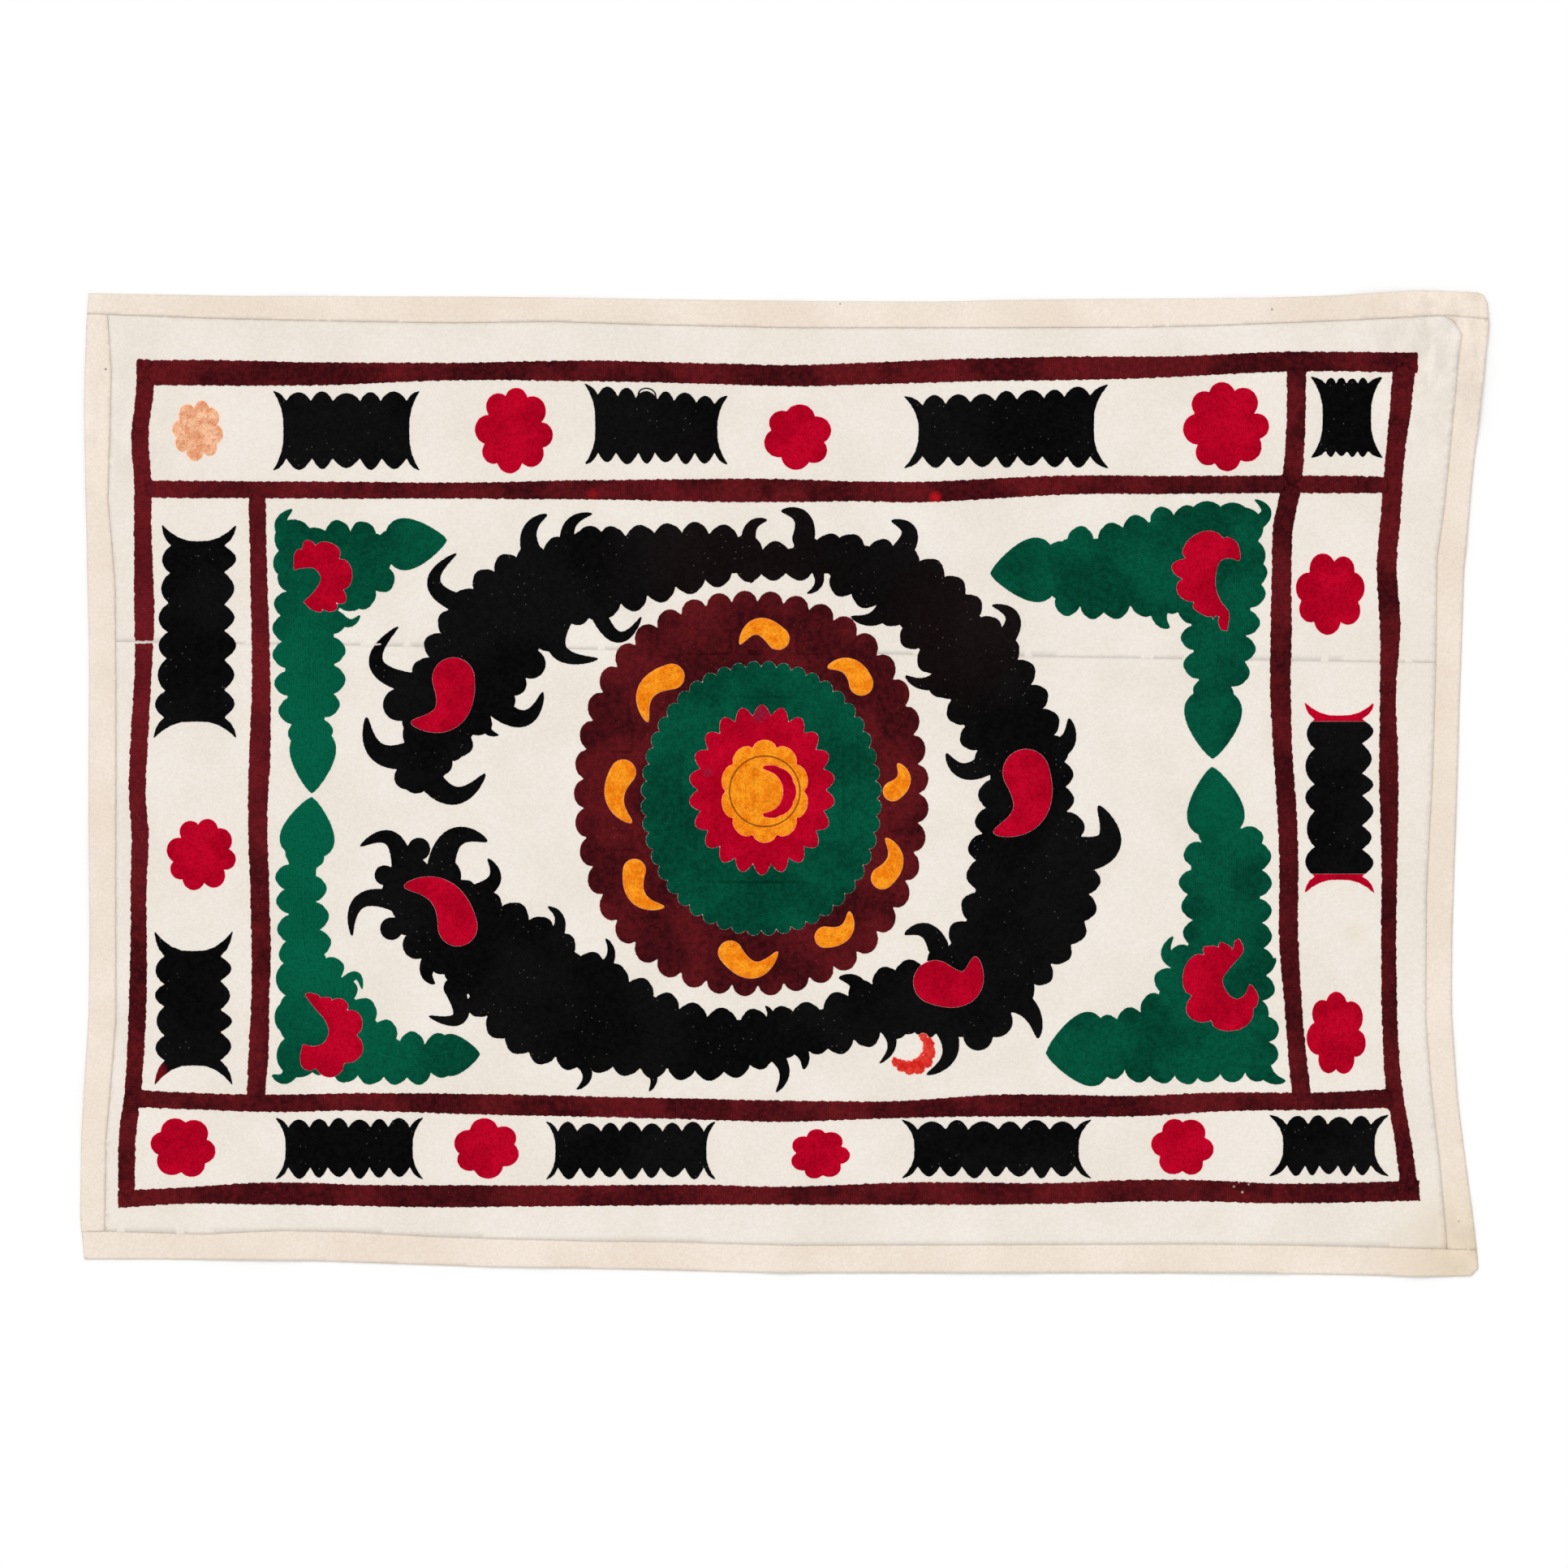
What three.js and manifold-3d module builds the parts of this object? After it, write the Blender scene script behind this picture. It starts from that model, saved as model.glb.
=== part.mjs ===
// Embroidered cotton tablecloth, lying flat, face up.
// Millimetres, +Z up. The long side runs along X, and the cloth rests on Z = 0.
// The off-white ground is two joined panels edged with ecru bands. The dense thread embroidery
// stands a little proud of the ground, so each motif is a low solid in its own thread colour.

import * as THREE from 'three';
import { mergeVertices } from 'three/addons/utils/BufferGeometryUtils.js';
import Module from 'manifold-3d';

const wasm = await Module();
wasm.setup();

// Driving thicknesses and clearances
const CLOTH_THICK = 1.3;
const BAND_THICK = 1.9;
const STITCH_THICK = 1.0;
const GAP = 0.3;
const FINEST = 0.1;
const STITCH_BASE = CLOTH_THICK + GAP;
const STITCH_TOP = STITCH_BASE + STITCH_THICK;

// The cloth's unevenness is worked out on one grid, which every piece shares
const GRID_PITCH = 60;
const GRID_ACROSS = 2100;
const GRID_UP = 1500;
const GRID_CENTRE = { x: -4, y: 5 };

// How far a cutting prism reaches past the cloth
const REACH = 400;
const PRISM_BELOW = 20;
const PRISM_TALL = 60;

// Scallops of the leaves and the vine
const VINE_LOBE = { pitch: 40, radius: 21, notch: 16 };
const ARM_LOBE = { pitch: 39, radius: 19, notch: 17 };
const BUD_SIDES = 7;
const EDGE_STEP = 6;
const SPRIG_LOBES = 7;
const SPRIG_LOBE_DEPTH = 0.24;

// The panel seam shows as a slit where it crosses the outer left bar
const SEAM_SLIT = { x: -911, y: 201, across: 60, up: 3.5 };

const COLOUR = {
  ground: 0xf0eae2,
  band: 0xefe4d4,
  maroon: 0x5a0d20,
  red: 0xb90a2c,
  green: 0x005a3c,
  black: 0x101012,
  orange: 0xfa9018,
  peach: 0xf4b681,
  coral: 0xd8382a,
};
const ROUGHNESS = { cotton: 0.95, thread: 0.85 };

// A table is a list of rows, each turned into an object with the named columns
function table(columns, rows) {
  return rows.map((row) => Object.fromEntries(columns.map((name, i) => [name, row[i]])));
}

// Outline and seams

const OUTER_EDGE = table(['x', 'y'], [
  [-988, 696], [-768, 692], [-422, 691], [-1, 685], [212, 684], [442, 688], [673, 689], [788, 693],
  [903, 700], [984, 697], [993, 693], [998, 683], [1000, 652], [988, 537], [975, 421], [965, 306], [957, 76], [948, -213],
  [947, -328], [955, -443], [970, -558], [983, -662], [985, -688], [975, -699], [903, -700],
  [788, -697], [673, -695], [327, -695], [-1, -695], [-192, -690], [-422, -686], [-653, -678],
  [-884, -675], [-994, -675], [-1000, -616], [-998, -501], [-988, -328], [-986, -213], [-988, -1],
  [-987, 191], [-991, 364], [-994, 537], [-991, 652],
]);

const SEAM_TOP = table(['x', 'y'], [
  [-1010, 667], [-961, 666], [-798, 660], [-614, 656], [-469, 654], [-330, 656], [-212, 652],
  [10, 647], [327, 647], [512, 648], [610, 650], [831, 659], [932, 664], [1010, 658],
]);

const SEAM_BOTTOM = table(['x', 'y'], [
  [-1010, -636], [-965, -636], [-826, -640], [-718, -635], [-616, -637], [-492, -644], [-281, -650],
  [-169, -651], [16, -656], [384, -655], [592, -654], [736, -656], [983, -662], [1010, -663],
]);

const SEAM_LEFT = table(['x', 'y'], [
  [-965, -690], [-965, -636], [-963, -505], [-957, -437], [-949, -336], [-949, -17], [-949, 145],
  [-950, 281], [-960, 405], [-957, 494], [-955, 582], [-961, 666], [-961, 710],
]);

const SEAM_RIGHT = table(['x', 'y'], [
  [941, -710], [941, -661], [931, -539], [919, -437], [911, -336], [912, -155], [920, 2], [925, 154],
  [927, 318], [937, 390], [948, 501], [956, 591], [961, 636], [950, 655], [930, 668], [925, 710],
]);

const PANEL_SEAM = table(['x', 'y'], [[-1010, 203], [-924, 201], [616, 176], [1010, 170]]);

// Ridges and tucks where the cloth lifts off the surface, and by how much
const FOLDS = table(['x', 'y', 'toX', 'toY', 'half', 'lift'], [
  [-4, 700, -4, 600, 50, 1.2], [-4, -560, -4, -700, 50, 1.4], [420, 5, 640, 5, 45, 0.9],
  [-962, 590, -958, 400, 60, 3.2], [-980, 300, -965, 180, 50, 1.2], [-975, -60, -968, -210, 55, 1.6],
  [-985, -420, -975, -520, 55, 1.4], [840, 680, 960, 655, 60, 3.6], [965, 640, 985, 520, 60, 3.8],
  [945, 450, 960, 340, 50, 1.6], [935, 60, 940, -60, 50, 1.3], [925, -330, 935, -440, 55, 1.8],
  [945, -620, 900, -680, 60, 2.4], [-700, 690, -640, 670, 55, 1.5], [-330, 685, -260, 665, 55, 1.2],
  [300, 680, 380, 660, 55, 1.4], [640, 685, 700, 670, 50, 1.6], [-800, -650, -720, -670, 55, 1.5],
  [-420, -660, -350, -680, 55, 1.2], [240, -670, 330, -690, 55, 1.3], [600, -670, 690, -690, 55, 1.6],
]);

// The dark red frame: eight bars worked as one lattice

const FRAME_BARS = {
  outerTop: table(['x', 'y', 'wide'], [
    [-920, 584, 35], [-803, 583, 36], [-653, 582, 32], [-469, 585, 25], [-284, 586, 29],
    [-100, 582, 29], [10, 579, 30], [108, 582, 31], [258, 587, 32], [439, 590, 33], [549, 592, 29],
    [719, 599, 28], [899, 598, 28],
  ]),
  innerTop: table(['x', 'y', 'wide'], [
    [-912, 418, 24], [-711, 417, 24], [-446, 416, 23], [-284, 417, 27], [-27, 416, 33],
    [108, 415, 28], [200, 414, 29], [402, 424, 27], [546, 424, 25], [719, 425, 25], [864, 424, 23],
  ]),
  innerBottom: table(['x', 'y', 'wide'], [
    [-928, -447, 25], [-836, -451, 23], [-728, -454, 25], [-616, -452, 24], [-492, -454, 28],
    [-353, -457, 29], [-170, -461, 29], [-5, -465, 30], [154, -463, 24], [309, -457, 31],
    [500, -458, 29], [615, -452, 27], [753, -451, 24], [868, -447, 27],
  ]),
  outerBottom: table(['x', 'y', 'wide'], [
    [-946, -590, 25], [-852, -585, 23], [-734, -582, 31], [-584, -585, 30], [-480, -586, 31],
    [-281, -585, 29], [-100, -584, 28], [-5, -585, 25], [200, -582, 32], [384, -582, 29],
    [500, -578, 31], [592, -578, 30], [703, -582, 28], [902, -578, 28],
  ]),
  outerLeft: table(['x', 'y', 'wide'], [
    [-905, 602, 27], [-909, 548, 24], [-915, 496, 24], [-911, 427, 24], [-911, 353, 25],
    [-909, 243, 28], [-910, 168, 24], [-916, 62, 25], [-919, -13, 24], [-915, -71, 24],
    [-917, -149, 22], [-917, -224, 23], [-918, -303, 25], [-925, -435, 23], [-933, -501, 24],
    [-934, -600, 22],
  ]),
  innerLeft: table(['x', 'y', 'wide'], [
    [-749, 417, 24], [-746, 280, 24], [-743, 156, 26], [-745, 41, 30], [-748, -40, 27],
    [-745, -149, 27], [-743, -247, 27], [-744, -303, 25], [-747, -387, 28], [-751, -449, 25],
  ]),
  innerRight: table(['x', 'y', 'wide'], [
    [727, 592, 27], [726, 502, 27], [720, 425, 28], [708, 364, 28], [706, 299, 28], [705, 205, 30],
    [704, 145, 29], [708, 41, 27], [713, -32, 27], [716, -100, 27], [716, -224, 27],
    [721, -296, 25], [727, -374, 25], [735, -449, 27],
  ]),
  outerRight: table(['x', 'y', 'wide'], [
    [881, 609, 32], [875, 537, 30], [867, 464, 27], [860, 372, 28], [855, 306, 28], [860, 225, 29],
    [857, 133, 23], [858, 19, 27], [859, -100, 23], [858, -224, 21], [860, -353, 22],
    [866, -437, 23], [878, -505, 23], [889, -591, 25],
  ]),
};

// Border motifs

const FLOWERS = table(['x', 'y', 'across', 'up', 'petals', 'turn', 'colour'], [
  [-833, 501, 72, 87, 8, 37, 'peach'], [-384, 501, 111, 122, 8, -5, 'red'], [19, 492, 98, 93, 6, 20, 'red'],
  [627, 507, 122, 127, 8, 5, 'red'], [775, 270, 99, 118, 7, 9, 'red'], [784, -355, 86, 119, 7, -15, 'red'],
  [-854, -517, 93, 88, 6, 52, 'red'], [-423, -518, 94, 86, 6, 38, 'red'], [50, -526, 86, 71, 7, -3, 'red'],
  [565, -516, 89, 84, 6, -5, 'red'], [-828, -101, 99, 104, 8, 31, 'red'],
]);

// How many lobes its upper and lower side has, and how long its horns are
const BLOCKS = table(['x', 'y', 'along', 'across', 'lobes', 'under', 'horn', 'turn', 'skew'], [
  [-622, 501, 209, 114, 5, 5, 21, 0, 0], [-182, 506, 205, 108, 6, 6, 22, 0, -17],
  [315, 503, 292, 112, 7, 7, 30, 0, 17], [798.5, 520, 103, 116, 4, 4, 24, 0, 0],
  [-834, 216, 305, 113, 6, 6, 34, 90, -12], [-839, -319, 220, 112, 4, 4, 40, 90, 0],
  [788, -20, 272, 100, 5, 6, 27, 90, 0], [-618, -518, 212, 89, 6, 6, 22, 0, 0],
  [-218, -521, 243, 84, 7, 7, 20, 0, 0], [301, -519, 272, 85, 6, 7, 27, 0, 0],
  [773, -514, 173, 89, 4, 5, 30, 0, 0],
]);
// Each lobe's corners: how far along it they are and how high, as shares
const ROUND_LOBES = { deepest: 15, corners: [[0, 0], [0.24, 0.95], [0.76, 0.95]] };
const POINTED_LOBES = { deepest: 18, corners: [[0, 0], [0.25, 0.68], [0.5, 1], [0.75, 0.68]] };
const LOBE_INSET = 1.5;
const FLOWER_DEPTH = 0.2;

// One block has its two horned ends worked in red, as crescents
const RED_ENDED_BLOCK = { row: 6, bodyHalf: 108 };

// Corner sprays: two arms meet in a corner, each with a pointed leaf at its end

const CORNERS = {
  top_left: {
    arm: table(['x', 'y', 'half'], [
      [-558, 335, 25], [-583, 326, 50], [-606, 313, 64], [-648, 299, 67], [-671, 254, 54],
      [-675, 202, 52], [-674, 150, 51], [-676, 110, 44], [-673, 73, 32],
    ]),
    leaves: table(['x', 'y', 'tipX', 'tipY', 'half'], [[-568, 337, -479, 346, 37], [-669, 78, -671, -14, 33]]),
    buds: table(['x', 'y', 'radius'], [[-697, 348, 27], [-704, 313, 22]]),
    horns: table(['x', 'y', 'wide', 'tipX', 'tipY', 'swing'], [
      [-699, 348, 25, -699, 389, -16], [-632, 235, 16, -603, 239, 9],
    ]),
    sprig: table(['x', 'y', 'wide'], [
      [-683, 258, 18], [-666, 275, 43], [-658, 292, 45], [-667, 305, 44], [-683, 306, 34], [-696, 303, 6],
    ]),
  },
  top_right: {
    arm: table(['x', 'y', 'half'], [
      [384, 306, 39], [398, 303, 61], [447, 299, 66], [487, 305, 70], [524, 312, 75], [564, 320, 76],
      [615, 306, 69], [618, 243, 59], [617, 203, 54], [614, 162, 47], [609, 130, 29],
    ]),
    leaves: table(['x', 'y', 'tipX', 'tipY', 'half'], [[389, 306, 292, 298, 46], [609, 135, 608, 35, 41]]),
    buds: table(['x', 'y', 'radius'], [[652, 364, 28], [659, 324, 24], [636, 372, 27], [600, 374, 27]]),
    horns: table(['x', 'y', 'wide', 'tipX', 'tipY', 'swing'], [
      [668, 368, 21, 668, 403, 16], [532, 246, 25, 546, 222, 5],
    ]),
    sprig: table(['x', 'y', 'wide'], [
      [646, 316, 8], [631, 320, 32], [618, 315, 54], [613, 299, 64], [612, 281, 56], [620, 258, 34],
      [631, 243, 21], [629, 217, 11],
    ]),
  },
  bottom_right: {
    arm: table(['x', 'y', 'half'], [
      [615, -67, 28], [626, -95, 61], [626, -149, 66], [630, -207, 62], [615, -282, 83],
      [581, -342, 84], [523, -366, 61], [463, -374, 46],
    ]),
    leaves: table(['x', 'y', 'tipX', 'tipY', 'half'], [[615, -77, 607, 24, 41], [463, -374, 371, -383, 53]]),
    buds: table(['x', 'y', 'radius'], [
      [654, -374, 33], [684, -349, 18], [684, -384, 17], [671, -406, 17], [636, -406, 18], [600, -406, 18],
      [467, -374, 36],
    ]),
    horns: table(['x', 'y', 'wide', 'tipX', 'tipY', 'swing'], [
      [670, -259, 21, 697, -248, 6], [567, -256, 23, 552, -217, -18], [680, -404, 23, 711, -422, 6],
    ]),
    sprig: table(['x', 'y', 'wide'], [
      [646, -220, 9], [652, -236, 20], [635, -259, 46], [622, -278, 57], [628, -296, 64],
      [641, -306, 46], [654, -299, 24], [660, -285, 6],
    ]),
  },
  bottom_left: {
    arm: table(['x', 'y', 'half'], [
      [-681, -102, 28], [-685, -120, 37], [-686, -147, 36], [-684, -186, 37], [-681, -231, 38],
      [-668, -276, 47], [-646, -342, 69], [-601, -372, 58], [-572, -382, 46], [-547, -389, 39],
      [-522, -390, 38], [-489, -386, 32],
    ]),
    leaves: table(['x', 'y', 'tipX', 'tipY', 'half'], [[-681, -107, -671, -19, 39], [-494, -386, -432, -384, 30]]),
    buds: table(['x', 'y', 'radius'], [[-690, -386, 31], [-697, -332, 27], [-695, -277, 27]]),
    horns: table(['x', 'y', 'wide', 'tipX', 'tipY', 'swing'], [
      [-699, -404, 23, -727, -414, -10], [-625, -284, 16, -600, -292, -16],
    ]),
    sprig: table(['x', 'y', 'wide'], [
      [-684, -370, 23], [-668, -373, 41], [-653, -367, 54], [-647, -352, 52], [-653, -335, 42],
      [-666, -320, 26], [-681, -300, 7],
    ]),
  },
};

// The vine: a scalloped band round the medallion, with buds and curled horns

const VINE_SPINE = table(['x', 'y', 'half'], [
  [-505, 35, 35], [-480, 99, 65], [-436, 191, 71], [-376, 258, 71], [-307, 288, 65], [-231, 304, 63],
  [-184, 312, 56], [-134, 321, 51], [-88, 324, 44], [-25, 316, 28], [21, 320, 32], [57, 329, 26],
  [89, 312, 46], [142, 292, 53], [191, 262, 61], [244, 202, 65], [288, 139, 71], [315, 87, 71], [341, 29, 67],
  [343, -40, 71], [348, -92, 89], [352, -149, 96], [318, -224, 83], [275, -270, 74], [223, -299, 62],
  [160, -309, 53], [73, -342, 43], [16, -349, 36], [-77, -369, 50], [-155, -363, 58], [-251, -335, 78],
  [-334, -306, 92], [-395, -255, 86], [-459, -208, 69], [-503, -169, 55], [-539, -139, 39],
]);

const VINE_HORNS = table(['x', 'y', 'wide', 'tipX', 'tipY', 'swing'], [
  [-455, 253, 28, -465, 327, -38], [-526, 142, 30, -548, 223, -44], [-524, 43, 39, -593, 94, -30],
  [-510, 16, 37, -425, 14, 32], [-427, 89, 16, -406, 69, 6], [-409, 110, 32, -343, 130, 28],
  [-312, 246, 35, -265, 177, 39], [-263, 239, 23, -203, 237, 30], [-359, 329, 28, -337, 382, -14],
  [-307, 336, 23, -273, 383, -16], [-543, -116, 30, -602, -89, 28], [-487, -114, 39, -422, -82, -25],
  [-432, -153, 25, -421, -107, 16], [-554, -167, 28, -614, -216, 30], [-505, -254, 23, -497, -284, 7],
  [-470, -290, 28, -505, -330, -34], [-289, -395, 18, -295, -434, -12], [-197, -399, 16, -192, -437, -9],
  [-321, -210, 18, -336, -175, 9], [-254, -259, 16, -254, -220, 8], [405, -100, 53, 446, -32, 39],
  [311, -303, 39, 360, -361, -16], [225, -342, 30, 202, -413, -22], [138, -342, 18, 135, -397, -16],
  [20, -376, 21, 27, -405, -5], [-16, -383, 21, -12, -438, -14], [110, -303, 28, 78, -276, 10],
  [218, -231, 30, 171, -214, 15], [-20, -335, 12, -27, -316, 3], [313, 205, 28, 295, 253, 21],
  [368, 46, 35, 404, 92, 18], [283, 25, 30, 230, 43, -16], [218, 147, 23, 172, 153, -8],
  [149, 262, 30, 95, 237, -16], [-51, 348, 21, -25, 374, -9], [27, 348, 32, -4, 387, 16],
  [168, 331, 30, 152, 373, 18], [46, 304, 16, 32, 270, -10], [-51, 306, 14, -48, 285, -5],
]);

const VINE_BUDS = table(['x', 'y', 'radius'], [
  [-547, 112, 23], [-537, 9, 17], [-471, 47, 15], [-383, 142, 17], [-360, 170, 21], [-519, -93, 16],
  [-568, -130, 14], [-558, -206, 16], [-522, -229, 20], [301, -337, 23], [275, -358, 21],
  [176, -342, 14], [-276, 348, 18],
]);

// Rounds that fill the vine out where its horns and buds spring from it
const VINE_SWELLS = table(['x', 'y', 'radius'], [
  [-509, 122, 29], [-515, 70, 27], [-503, 35, 30], [-532, -132, 30], [-532, -172, 27], [-486, -132, 27],
  [-357, 318, 20], [223, 142, 20], [277, -335, 22], [-523, 6, 20], [-268, 250, 18], [-336, 208, 20],
  [-402, 118, 20], [-534, -196, 20], [166, 326, 15], [252, -340, 20],
  [-468, -268, 15],
]);

const VINE_PAISLEYS = table(['x', 'y', 'radius', 'tipX', 'tipY', 'swing'], [
  [-470, 149, 30, -529, 87, -30], [-464, -203, 28, -539, -146, 24], [343, 16, 33, 298, -69, -30],
  [214, -282, 31, 271, -247, 28],
]);

// A crescent beside the vine was left half worked
const UNFINISHED = table(['x', 'y', 'wide'], [
  [154, -388, 9], [170, -393, 18], [184, -392, 22], [194, -383, 21], [197, -371, 16], [190, -357, 8],
]);

// Medallion: three scalloped rings round a rosette

const MEDALLION = {
  maroon: { x: -47, y: -14, across: 504, up: 576, petals: 41, depth: 0.055, perPetal: 2, square: 0.035 },
  green: { x: -33, y: -21, across: 342, up: 390, petals: 48, depth: 0.045, perPetal: 2, square: 0.02 },
  red: { x: -32, y: -9, across: 208, up: 242, petals: 24, depth: 0.13, perPetal: 2 },
  rosette: { x: -28, y: -11, across: 126, up: 146, petals: 10, depth: 0.12 },
};
const CENTRE_CRESCENT = table(['x', 'y', 'wide'], [
  [-31, -43, 5], [-13, -36, 13], [-3, -21, 18], [-3, -2, 18], [-13, 13, 13], [-31, 21, 5],
]);

const MEDALLION_PAISLEYS = table(['x', 'y', 'radius', 'tipX', 'tipY', 'swing'], [
  [-9, 206, 16, -63, 198, 21], [109, 142, 17, 62, 165, 14], [-160, 152, 18, -194, 88, 22],
  [-229, 16, 18, -217, -55, 18], [154, -11, 14, 161, 28, 12], [139, -134, 16, 144, -78, 16],
  [-213, -123, 16, -171, -175, 20], [58, -218, 15, 92, -182, 15], [-77, -240, 17, -10, -239, 25],
]);

// Solids from three.js geometry

function solidOf(geometry) {
  geometry.deleteAttribute('normal');
  geometry.deleteAttribute('uv');
  const merged = mergeVertices(geometry, 1e-4);
  return new wasm.Manifold(new wasm.Mesh({
    numProp: 3,
    vertProperties: new Float32Array(merged.attributes.position.array),
    triVerts: new Uint32Array(merged.index.array),
  }));
}

function prism(points) {
  const shape = new THREE.Shape(points.map(({ x, y }) => new THREE.Vector2(x, y)));
  const geometry = new THREE.ExtrudeGeometry(shape, { depth: PRISM_TALL, bevelEnabled: false });
  return solidOf(geometry.translate(0, 0, -PRISM_BELOW));
}

function rectangle({ x, y, across, up }) {
  const [right, top] = [across / 2, up / 2];
  const corners = [[-right, -top], [right, -top], [right, top], [-right, top]];
  return prism(corners.map(([cornerX, cornerY]) => ({ x: x + cornerX, y: y + cornerY })));
}

function joined(solids) {
  return wasm.Manifold.union(solids);
}

function lift(x, y) {
  const here = new THREE.Vector3(x, y, 0);
  const nearest = new THREE.Vector3();
  let height = 0;
  for (const fold of FOLDS) {
    const line = new THREE.Line3(new THREE.Vector3(fold.x, fold.y, 0), new THREE.Vector3(fold.toX, fold.toY, 0));
    line.closestPointToPoint(here, true, nearest);
    const off = Math.min(1, here.distanceTo(nearest) / fold.half);
    height += fold.lift * (0.5 + 0.5 * Math.cos(Math.PI * off));
  }
  return height;
}

// All that lies under the cloth's uneven surface, raised by a height
function under(height) {
  const cellsAcross = GRID_ACROSS / GRID_PITCH;
  const cellsUp = GRID_UP / GRID_PITCH;
  const geometry = new THREE.BoxGeometry(GRID_ACROSS, GRID_UP, PRISM_BELOW, cellsAcross, cellsUp, 1);
  geometry.translate(GRID_CENTRE.x, GRID_CENTRE.y, height - PRISM_BELOW / 2);
  const place = geometry.attributes.position;
  for (let i = 0; i < place.count; i += 1) {
    if (Math.abs(place.getZ(i) - height) < GAP) {
      place.setZ(i, height + lift(place.getX(i), place.getY(i)));
    }
  }
  return solidOf(geometry);
}

// A layer of an outline between two heights over the surface below
function layer(outline, from, to) {
  return outline.intersect(under(to)).subtract(under(from)).asOriginal().simplify(FINEST);
}

// Outlines

// Moves each corner outwards by a distance, along the bisector of its two edges
function grown(points, distance) {
  const turn = THREE.ShapeUtils.isClockWise(points) ? -1 : 1;
  return points.map((point, i) => {
    const before = points[(i + points.length - 1) % points.length];
    const after = points[(i + 1) % points.length];
    const first = new THREE.Vector2(point.y - before.y, before.x - point.x).normalize();
    const second = new THREE.Vector2(after.y - point.y, point.x - after.x).normalize();
    const bisector = first.clone().add(second);
    const stretch = Math.max(0.25, 1 + first.dot(second));
    return bisector.multiplyScalar((turn * distance) / stretch).add(point);
  });
}

function smoothed(rows, width) {
  return new THREE.CatmullRomCurve3(rows.map((row) => new THREE.Vector3(row.x, row.y, row[width])));
}

// A point of a curve that carries the width as its third coordinate, and the side way there
function station(curve, along) {
  const at = curve.getPointAt(along);
  const ahead = curve.getTangentAt(along);
  const side = new THREE.Vector2(ahead.y, -ahead.x).normalize();
  return { at: new THREE.Vector2(at.x, at.y), side, wide: at.z };
}

// A bar's two long edges, one section for each row of its table
function barOutline(rows) {
  const curve = smoothed(rows, 'wide');
  const right = [];
  const left = [];
  for (let i = 0; i < rows.length; i += 1) {
    const { at, side, wide } = station(curve, i / (rows.length - 1));
    right.push(at.clone().addScaledVector(side, wide / 2));
    left.unshift(at.clone().addScaledVector(side, -wide / 2));
  }
  return [...right, ...left];
}

// An oval with rounded lobes and sharp notches between them
// A square share above nought pushes its diagonals outwards
function rosetteOutline(
  { x, y, across, up, petals, depth = 0.16, perPetal = 3, uneven = 0, turn = 0, square = 0 },
) {
  const points = [];
  for (let i = 0; i < petals * perPetal; i += 1) {
    const angle = turn + (2 * Math.PI * i) / (petals * perPetal);
    const lobe = Math.sin((Math.PI * (i % perPetal)) / perPetal) ** 0.6;
    const wobble = 1 + uneven * Math.sin(3 * Math.floor(i / perPetal) + x);
    const corner = 1 + square * Math.sin(2 * angle) ** 2;
    const reach = (1 - depth + depth * lobe) * wobble * corner;
    points.push(new THREE.Vector2(
      x + (across / 2) * reach * Math.cos(angle),
      y + (up / 2) * reach * Math.sin(angle),
    ));
  }
  return points;
}

// A flower head, its first petal turned to an angle in degrees
function flowerOutline({ turn, ...row }) {
  const first = THREE.MathUtils.degToRad(turn) - Math.PI / row.petals;
  return rosetteOutline({ ...row, depth: FLOWER_DEPTH, uneven: 0.04, turn: first });
}

// One scalloped long side of a block, between the hollows of its ends
function blockSide({ x, along, across, horn }, lobes, { deepest, corners }) {
  const long = along / 2;
  const wide = across / 2;
  const reach = long - 0.9 * horn;
  const pitch = (2 * reach) / lobes;
  const depth = Math.min(deepest, 0.7 * pitch);
  const valley = wide - depth;
  const corner = [
    new THREE.Vector2(long - 0.7 * horn, 0.3 * wide),
    new THREE.Vector2(long - 0.36 * horn, 0.76 * wide),
    new THREE.Vector2(long, wide),
    new THREE.Vector2(long - 0.62 * horn, wide - 0.5 * depth),
  ];
  const notch = (i) => pitch * (i + (i % lobes ? 0.08 * Math.sin(2.7 * i + x) : 0)) - reach;
  const side = corner.map((point) => new THREE.Vector2(-point.x, point.y));
  for (let i = 0; i < lobes; i += 1) {
    for (const [share, up] of corners) {
      const far = THREE.MathUtils.lerp(notch(i), notch(i + 1), share);
      side.push(new THREE.Vector2(far, valley + up * (depth - LOBE_INSET)));
    }
  }
  return [...side, new THREE.Vector2(reach, valley), ...corner.reverse()];
}

// A block with a thick horn at each corner, its upper lobes round and its lower ones pointed.
// A skew raises one end of its upper side and lowers the other
function blockOutline(row) {
  const whole = [
    ...blockSide(row, row.lobes, ROUND_LOBES),
    ...blockSide(row, row.under, POINTED_LOBES).map((point) => point.negate()),
  ];
  const centre = new THREE.Vector2(row.x, row.y);
  const angle = THREE.MathUtils.degToRad(row.turn);
  return whole.map((point) => {
    const rise = point.y > 0 ? (row.skew * point.x) / row.along : 0;
    return new THREE.Vector2(point.x, point.y + rise).rotateAround(new THREE.Vector2(), angle).add(centre);
  });
}

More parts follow.
